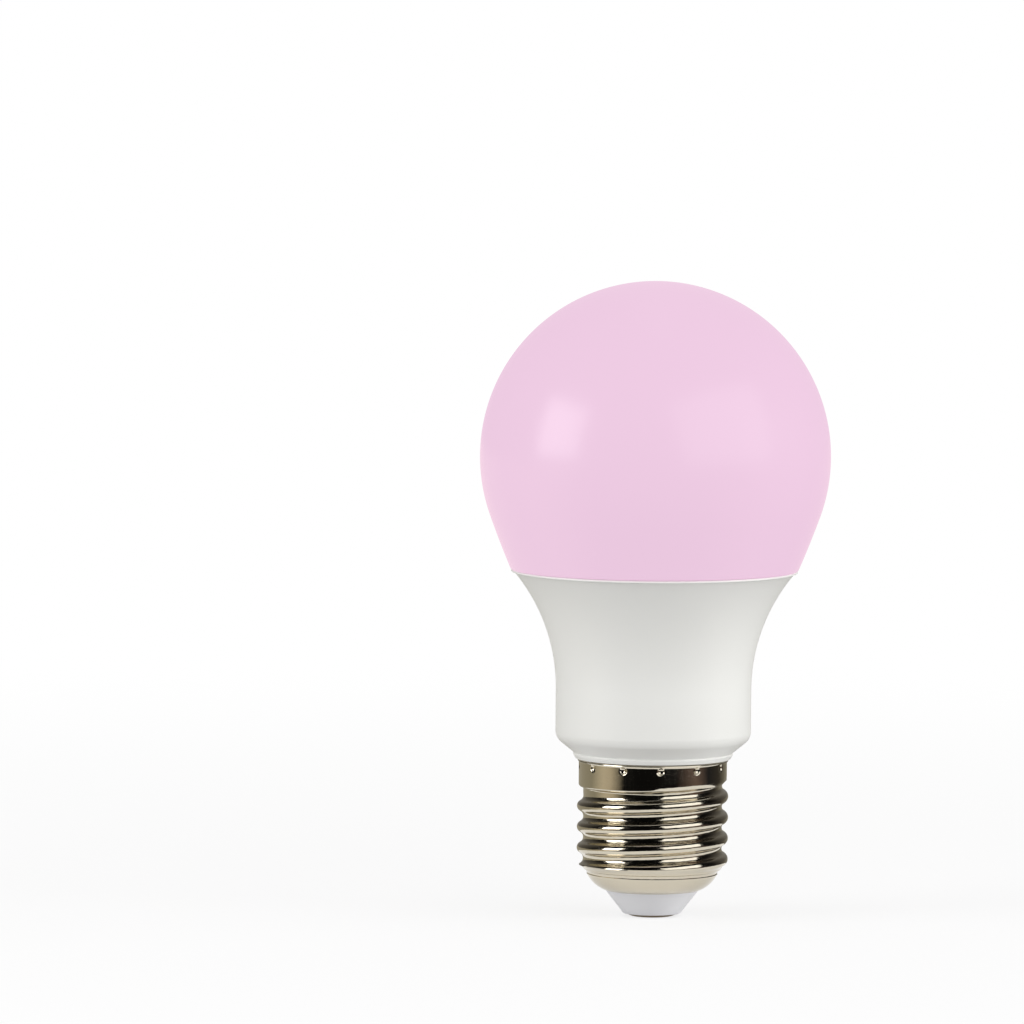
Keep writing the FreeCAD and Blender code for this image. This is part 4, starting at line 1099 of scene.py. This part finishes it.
        outside = add_node(tree, "ShaderNodeMath", [ball, given["Dimple depth"]], operation="SUBTRACT")
        pressed = add_node(tree, "ShaderNodeMath", [reach, outside], operation="SUBTRACT")
        blend = self.dimple_blend * MM
        return add_node(tree, "ShaderNodeMath", [pressed, 0.0, blend], operation="SMOOTH_MAX")


@dataclass
class CapFoot:
    """Insulator cone and centre contact at the tip of the cap."""

    insulator_foot_radius: float = 4.95
    insulator_foot: float = 0.5
    hole_clearance: float = 0.08
    hole_radius: float = 8.2
    hole_depth: float = 0.3
    flange_rise: float = 1.05
    bore: float = 1.55
    foot_round: float = 0.25
    contact_radius: float = 4.4
    contact_flat: float = 3.0
    stem_radius: float = 1.5
    columns: int = 160
    contact_columns: int = 96

    def build(self) -> None:
        """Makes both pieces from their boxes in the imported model."""
        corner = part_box("cap_insulator")[1]
        top = corner.z / MM
        flange = corner.x / MM
        bowl_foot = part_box("screw_shell")[0].z / MM
        hole = self.hole_radius - self.hole_clearance
        section = Profile(self.bore, self.insulator_foot)
        section.corner((self.insulator_foot_radius, self.insulator_foot), (hole, bowl_foot), self.foot_round)
        section.line(hole, bowl_foot, steps=8)
        section.line(hole, bowl_foot + self.hole_depth)
        section.line(flange, bowl_foot + self.flange_rise)
        section.line(flange, top)
        section.line(self.bore, top)
        cone = section.turn("insulator_cone", even_angles(self.columns))
        place(cone, "cap_insulator", Finishes.INSULATOR)
        run = self.contact_radius - self.contact_flat
        bend = (self.insulator_foot ** 2 + run ** 2) / (2 * self.insulator_foot)
        stem_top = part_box("center_contact")[1].z / MM
        section = Profile(0.0, 0.0)
        section.line(self.contact_flat, 0.0, steps=3)
        section.arc((self.contact_flat, bend), self.contact_radius, self.insulator_foot, steps=10)
        section.line(self.stem_radius, self.insulator_foot)
        section.line(self.stem_radius, stem_top)
        section.line(0.0, stem_top)
        disc = section.turn("contact_disc", even_angles(self.contact_columns))
        place(disc, "center_contact", Finishes.CONTACT)


@dataclass
class Inside:
    """Parts inside the lamp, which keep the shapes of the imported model."""

    finishes: Mapping[str, Finishes] = field(default_factory=lambda: {
        "silicone": Finishes.SEAL,
        "aluminium": Finishes.HEAT_SINK,
        "white_board": Finishes.LED_BOARD,
        "plated_steel": Finishes.SCREWS,
        "cool_phosphor": Finishes.COOL_LEDS,
        "warm_phosphor": Finishes.WARM_LEDS,
        "clear_lens": Finishes.COLOUR_LEDS,
        "green_board": Finishes.DRIVER_BOARD,
        "capacitor_sleeve": Finishes.SLEEVE,
        "ferrite": Finishes.FERRITE,
        "bobbin_plastic": Finishes.BOBBIN,
        "winding_tape": Finishes.WINDING,
        "film_capacitor_box": Finishes.FILM_BOX,
        "resistor_coating": Finishes.RESISTOR,
        "chip_epoxy": Finishes.CHIPS,
        "blue_board": Finishes.WIRELESS_BOARD,
        "tinned_steel": Finishes.SHIELD,
        "copper": Finishes.ANTENNA,
        "tinned_brass": Finishes.PINS,
        "lead_insulation": Finishes.LEADS,
    })

    def build(self) -> None:
        """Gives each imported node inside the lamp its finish."""
        for part in frame["record"]["subparts"]:
            finish = self.finishes.get(part["material_slot"])
            if finish:
                for slot in frame["nodes"][part["node"]].material_slots:
                    slot.material = finish.value.material()
                log.info("%s: %s", part["node"], finish.value.name)


@dataclass
class Studio:
    """Pale floor, soft lamps, cards of painted reflections and the camera. Lengths are in metres unless a
    comment says so.
    """

    image_size: int = 1024
    # Pixels to a millimetre at the lamp
    scale: float = 5.79
    # Camera's height above the horizon and its lean, in degrees
    elevation: float = 4.4
    lean: float = 0.43
    distance: float = 2.0
    clip: Pair = (0.1, 20.0)
    # Point it looks at, across and up, and the width of its sensor, in millimetres
    aim: Pair = (-24.7, 69.9)
    sensor: float = 36.0
    # How bright the surround and the paper are where they only light the lamp, and where they are seen
    surround: Pair = (0.62, 1.0)
    paper_white: Pair = (0.55, 0.95)
    floor_reach: float = 4.0
    # Millimetres, so that the floor and the contact don't share a face
    floor_gap: float = 0.02
    # The floor's share of its own light at the lamp and far out, where the horizon mustn't show
    glow_distances: Pair = (0.06, 0.5)
    glow_shares: Pair = (0.75, 1.0)
    # What a mirror sees of that light close to the contact, which keeps the cap's foot dark
    shade_distances: Pair = (0.008, 0.04)
    shade_shares: Pair = (0.1, 1.0)
    box_aim: float = 0.06
    cap_height: float = 0.018
    card_lift: float = 0.001
    card_distance: float = 1.6
    card_columns: int = 96
    card_rows: int = 16
    # Angles in degrees above the horizon
    wall_heights: Pair = (-0.6, 89.0)
    table_heights: Pair = (-20.0, -0.6)
    # Painted reflections: the dark, grey, beige and reddish brown tones that only mirrors see on the cards
    painted_wall_reflections: Tones = (
        (0.0, "#8E8C88"), (0.10, "#5A5752"), (0.22, "#181614"), (0.27, "#050505"),
        (0.76, "#050505"), (0.80, "#1C1A19"), (0.90, "#5E5B57"), (1.0, "#8E8C88"))
    painted_floor_reflections: Tones = (
        (0.0, "#A8A394"), (0.20, "#95907F"), (0.27, "#C6BCA6"), (0.31, "#BDB29C"), (0.375, "#101010"),
        (0.60, "#0E0D0D"), (0.69, "#6A5A53"), (0.76, "#242426"), (0.84, "#3A3631"), (1.0, "#A8A394"))

    def build(self) -> None:
        """Lays the floor, hangs the lamps and the cards, and sets the camera."""
        self.floor()
        self.lamps()
        # Cards of painted reflections, which only mirrors show
        self.card("painted_reflection_walls", self.painted_wall_reflections, self.wall_heights)
        self.card("painted_reflection_floor", self.painted_floor_reflections, self.table_heights)
        self.world()
        self.camera()

    def floor(self) -> None:
        """Lays a plain pale floor under the lamp."""
        reach, under = self.floor_reach, -self.floor_gap * MM
        signs = ((-1, -1), (1, -1), (1, 1), (-1, 1))
        corners = [(across * reach, deep * reach, under) for across, deep in signs]
        mesh = bpy.data.meshes.new("floor")
        mesh.from_pydata(corners, [], [(0, 1, 2, 3)])
        mesh.materials.append(self.paper())
        show("floor", mesh)

    def paper(self) -> Material:
        """Makes the floor's material: matt paper that shows white, with no horizon, and keeps the shadow.

        Returns:
            The material.
        """
        made = bpy.data.materials.new("matt_paper_floor")
        made.use_nodes = True
        tree = made.node_tree
        shader = tree.nodes["Principled BSDF"]
        shader.inputs["Roughness"].default_value = 1.0
        shader.inputs["Specular IOR Level"].default_value = 0.0
        where = add_node(tree, "ShaderNodeTexCoord").outputs["Object"]
        away = add_node(tree, "ShaderNodeVectorMath", [where], operation="LENGTH").outputs["Value"]
        light = add_node(tree, "ShaderNodeLightPath").outputs
        (near, far), (low, high) = self.glow_distances, self.glow_shares
        glow = add_node(tree, "ShaderNodeMapRange", {
            "Value": away, "From Min": near, "From Max": far, "To Min": low, "To Max": high},
            interpolation_type="SMOOTHSTEP")
        (near, far), (low, high) = self.shade_distances, self.shade_shares
        shade = add_node(tree, "ShaderNodeMapRange", {
            "Value": away, "From Min": near, "From Max": far, "To Min": low, "To Max": high})
        shade = add_node(tree, "ShaderNodeMath", [shade, light["Is Camera Ray"]], operation="MAXIMUM")
        share = add_node(tree, "ShaderNodeMath", [glow, shade], operation="MULTIPLY")
        seen = self.seen(tree)
        share = add_node(tree, "ShaderNodeMath", [seen, share], operation="MULTIPLY")
        low, high = self.paper_white
        paper = add_node(tree, "ShaderNodeMapRange", {"Value": seen, "To Min": low, "To Max": high})
        tree.links.new(paper.outputs["Result"], shader.inputs["Base Color"])
        white = add_node(tree, "ShaderNodeEmission", {"Color": WHITE, "Strength": 1.0})
        mix = add_node(tree, "ShaderNodeMixShader", {0: share, 1: shader, 2: white})
        tree.links.new(mix.outputs[0], tree.nodes["Material Output"].inputs["Surface"])
        return made

    def seen(self, tree: NodeTree) -> Node:
        """Adds the nodes that tell a ray that sees the background from one that lights the lamp.

        Args:
            tree: Tree of the floor or the world.

        Returns:
            The node whose output is 1 for the eye, a mirror or glass, and otherwise 0.
        """
        light = add_node(tree, "ShaderNodeLightPath").outputs
        eye, mirror, glass = light["Is Camera Ray"], light["Is Glossy Ray"], light["Is Transmission Ray"]
        seen = add_node(tree, "ShaderNodeMath", [eye, mirror], operation="ADD")
        return add_node(tree, "ShaderNodeMath", [seen, glass], operation="ADD", use_clamp=True)

    def lamps(self) -> None:
        """Hangs the soft boxes and a fill that no mirror shows."""
        self.soft_box("left_box", azimuth=-68.0, elevation=17.0, distance=1.0, size=(0.56, 0.54), watts=4.0)
        self.soft_box("right_box", azimuth=48.0, elevation=22.0, distance=1.2, size=(1.45, 0.98), watts=6.4)
        fill = self.soft_box("right_fill", azimuth=88.0, elevation=8.0, distance=1.2, size=(1.0, 0.6),
                             watts=4.8)
        fill.visible_glossy = False

    def soft_box(self, name: str, azimuth: float, elevation: float, distance: float, size: Pair,
                 watts: float) -> Object:
        """Hangs one soft box that faces the lamp.

        Args:
            name: Its name.
            azimuth: Angle from the front towards the right, in degrees.
            elevation: Angle above the horizon, in degrees.
            distance: How far it stands.
            size: Its width and height.
            watts: Its power.

        Returns:
            The soft box.
        """
        data = bpy.data.lights.new(name, "AREA")
        data.shape = "RECTANGLE"
        data.size, data.size_y = size
        data.energy = watts
        box = show(name, data)
        away = direction(math.radians(azimuth), math.radians(elevation))
        box.location = Vector((0, 0, self.box_aim)) + away * distance
        box.rotation_euler = away.to_track_quat("Z", "Y").to_euler()
        return box

    def card(self, name: str, tones: Tones, heights: Pair) -> None:
        """Sets up a card of painted reflections all round the lamp, which only mirrors show.

        Under the horizon it lies on the floor. The way round it starts behind and goes by the left.

        Args:
            name: Its name.
            tones: Its colours, each after its share of the way round.
            heights: Angles of its lower and upper edge above the horizon, in degrees.
        """
        eye = Vector((0, 0, self.cap_height))
        columns, rows = self.card_columns, self.card_rows
        corners, faces = [], []
        for row in range(rows + 1):
            tilt = math.radians(heights[0] + (heights[1] - heights[0]) * row / rows)
            for column in range(columns):
                away = direction(math.tau * column / columns, tilt)
                reach = self.card_distance
                if away.z < 0:
                    reach = min(reach, (eye.z - self.card_lift) / -away.z)
                corners.append(eye + away * reach)
        for row in range(rows):
            for column in range(columns):
                first, beside = row * columns + column, row * columns + (column + 1) % columns
                faces.append((first, beside, beside + columns, first + columns))
        mesh = bpy.data.meshes.new(name)
        mesh.from_pydata(corners, [], faces)
        mesh.materials.append(self.card_paint(name, tones))
        card = show(name, mesh)
        card.visible_camera = card.visible_diffuse = card.visible_shadow = False
        card.visible_transmission = card.visible_volume_scatter = False

    def card_paint(self, name: str, tones: Tones) -> Material:
        """Makes a card's material: the glowing tones of its painted reflections.

        Args:
            name: Its name.
            tones: Its colours, each after its share of the way round.

        Returns:
            The material.
        """
        paint = bpy.data.materials.new(name)
        paint.use_nodes = True
        tree = paint.node_tree
        where = add_node(tree, "ShaderNodeTexCoord").outputs["Object"]
        where = add_node(tree, "ShaderNodeSeparateXYZ", [where]).outputs
        ahead = add_node(tree, "ShaderNodeMath", [where["Y"], -1.0], operation="MULTIPLY")
        turn = add_node(tree, "ShaderNodeMath", [where["X"], ahead], operation="ARCTAN2")
        way = add_node(tree, "ShaderNodeMapRange", {"Value": turn, "From Min": -math.pi, "From Max": math.pi})
        ramp = add_node(tree, "ShaderNodeValToRGB", {"Fac": way})
        stops = ramp.color_ramp.elements
        for share, colour in tones[1:-1]:
            stops.new(share).color = linear(colour)
        stops[0].color, stops[-1].color = linear(tones[0][1]), linear(tones[-1][1])
        glow = add_node(tree, "ShaderNodeEmission", {"Color": ramp, "Strength": 1.0})
        tree.links.new(glow.outputs[0], tree.nodes["Material Output"].inputs["Surface"])
        return paint

    def world(self) -> None:
        """Fills the studio with even light and a white background."""
        world = bpy.data.worlds.new("studio")
        bpy.context.scene.world = world
        world.use_nodes = True
        tree = world.node_tree
        back = tree.nodes["Background"]
        low, high = self.surround
        strength = add_node(tree, "ShaderNodeMapRange", {
            "Value": self.seen(tree), "To Min": low, "To Max": high})
        back.inputs["Color"].default_value = WHITE
        tree.links.new(strength.outputs["Result"], back.inputs["Strength"])

    def camera(self) -> None:
        """Sets a long lens at the photograph's height and lean."""
        data = bpy.data.cameras.new("camera")
        data.sensor_width = self.sensor
        data.lens = self.scale / MM * self.sensor * self.distance / self.image_size
        data.clip_start, data.clip_end = self.clip
        camera = show("camera", data)
        back = direction(0.0, math.radians(self.elevation))
        target = Vector((self.aim[0] * MM, 0, self.aim[1] * MM))
        upright = back.to_track_quat("Z", "Y").to_matrix()
        camera.rotation_euler = (upright @ Matrix.Rotation(math.radians(self.lean), 3, "Z")).to_euler()
        camera.location = target + back * self.distance
        bpy.context.scene.camera = camera


def main() -> None:
    """Builds the lamp and the studio in order."""
    logging.basicConfig(level=logging.INFO, format="%(message)s")
    for part in (Diffuser(), Housing(), ScrewShell(), CapFoot(), Inside(), Studio()):
        part.build()
        log.info("%s done", type(part).__name__)
    bpy.context.scene.view_settings.view_transform = "Standard"


if __name__ == "__main__":
    main()
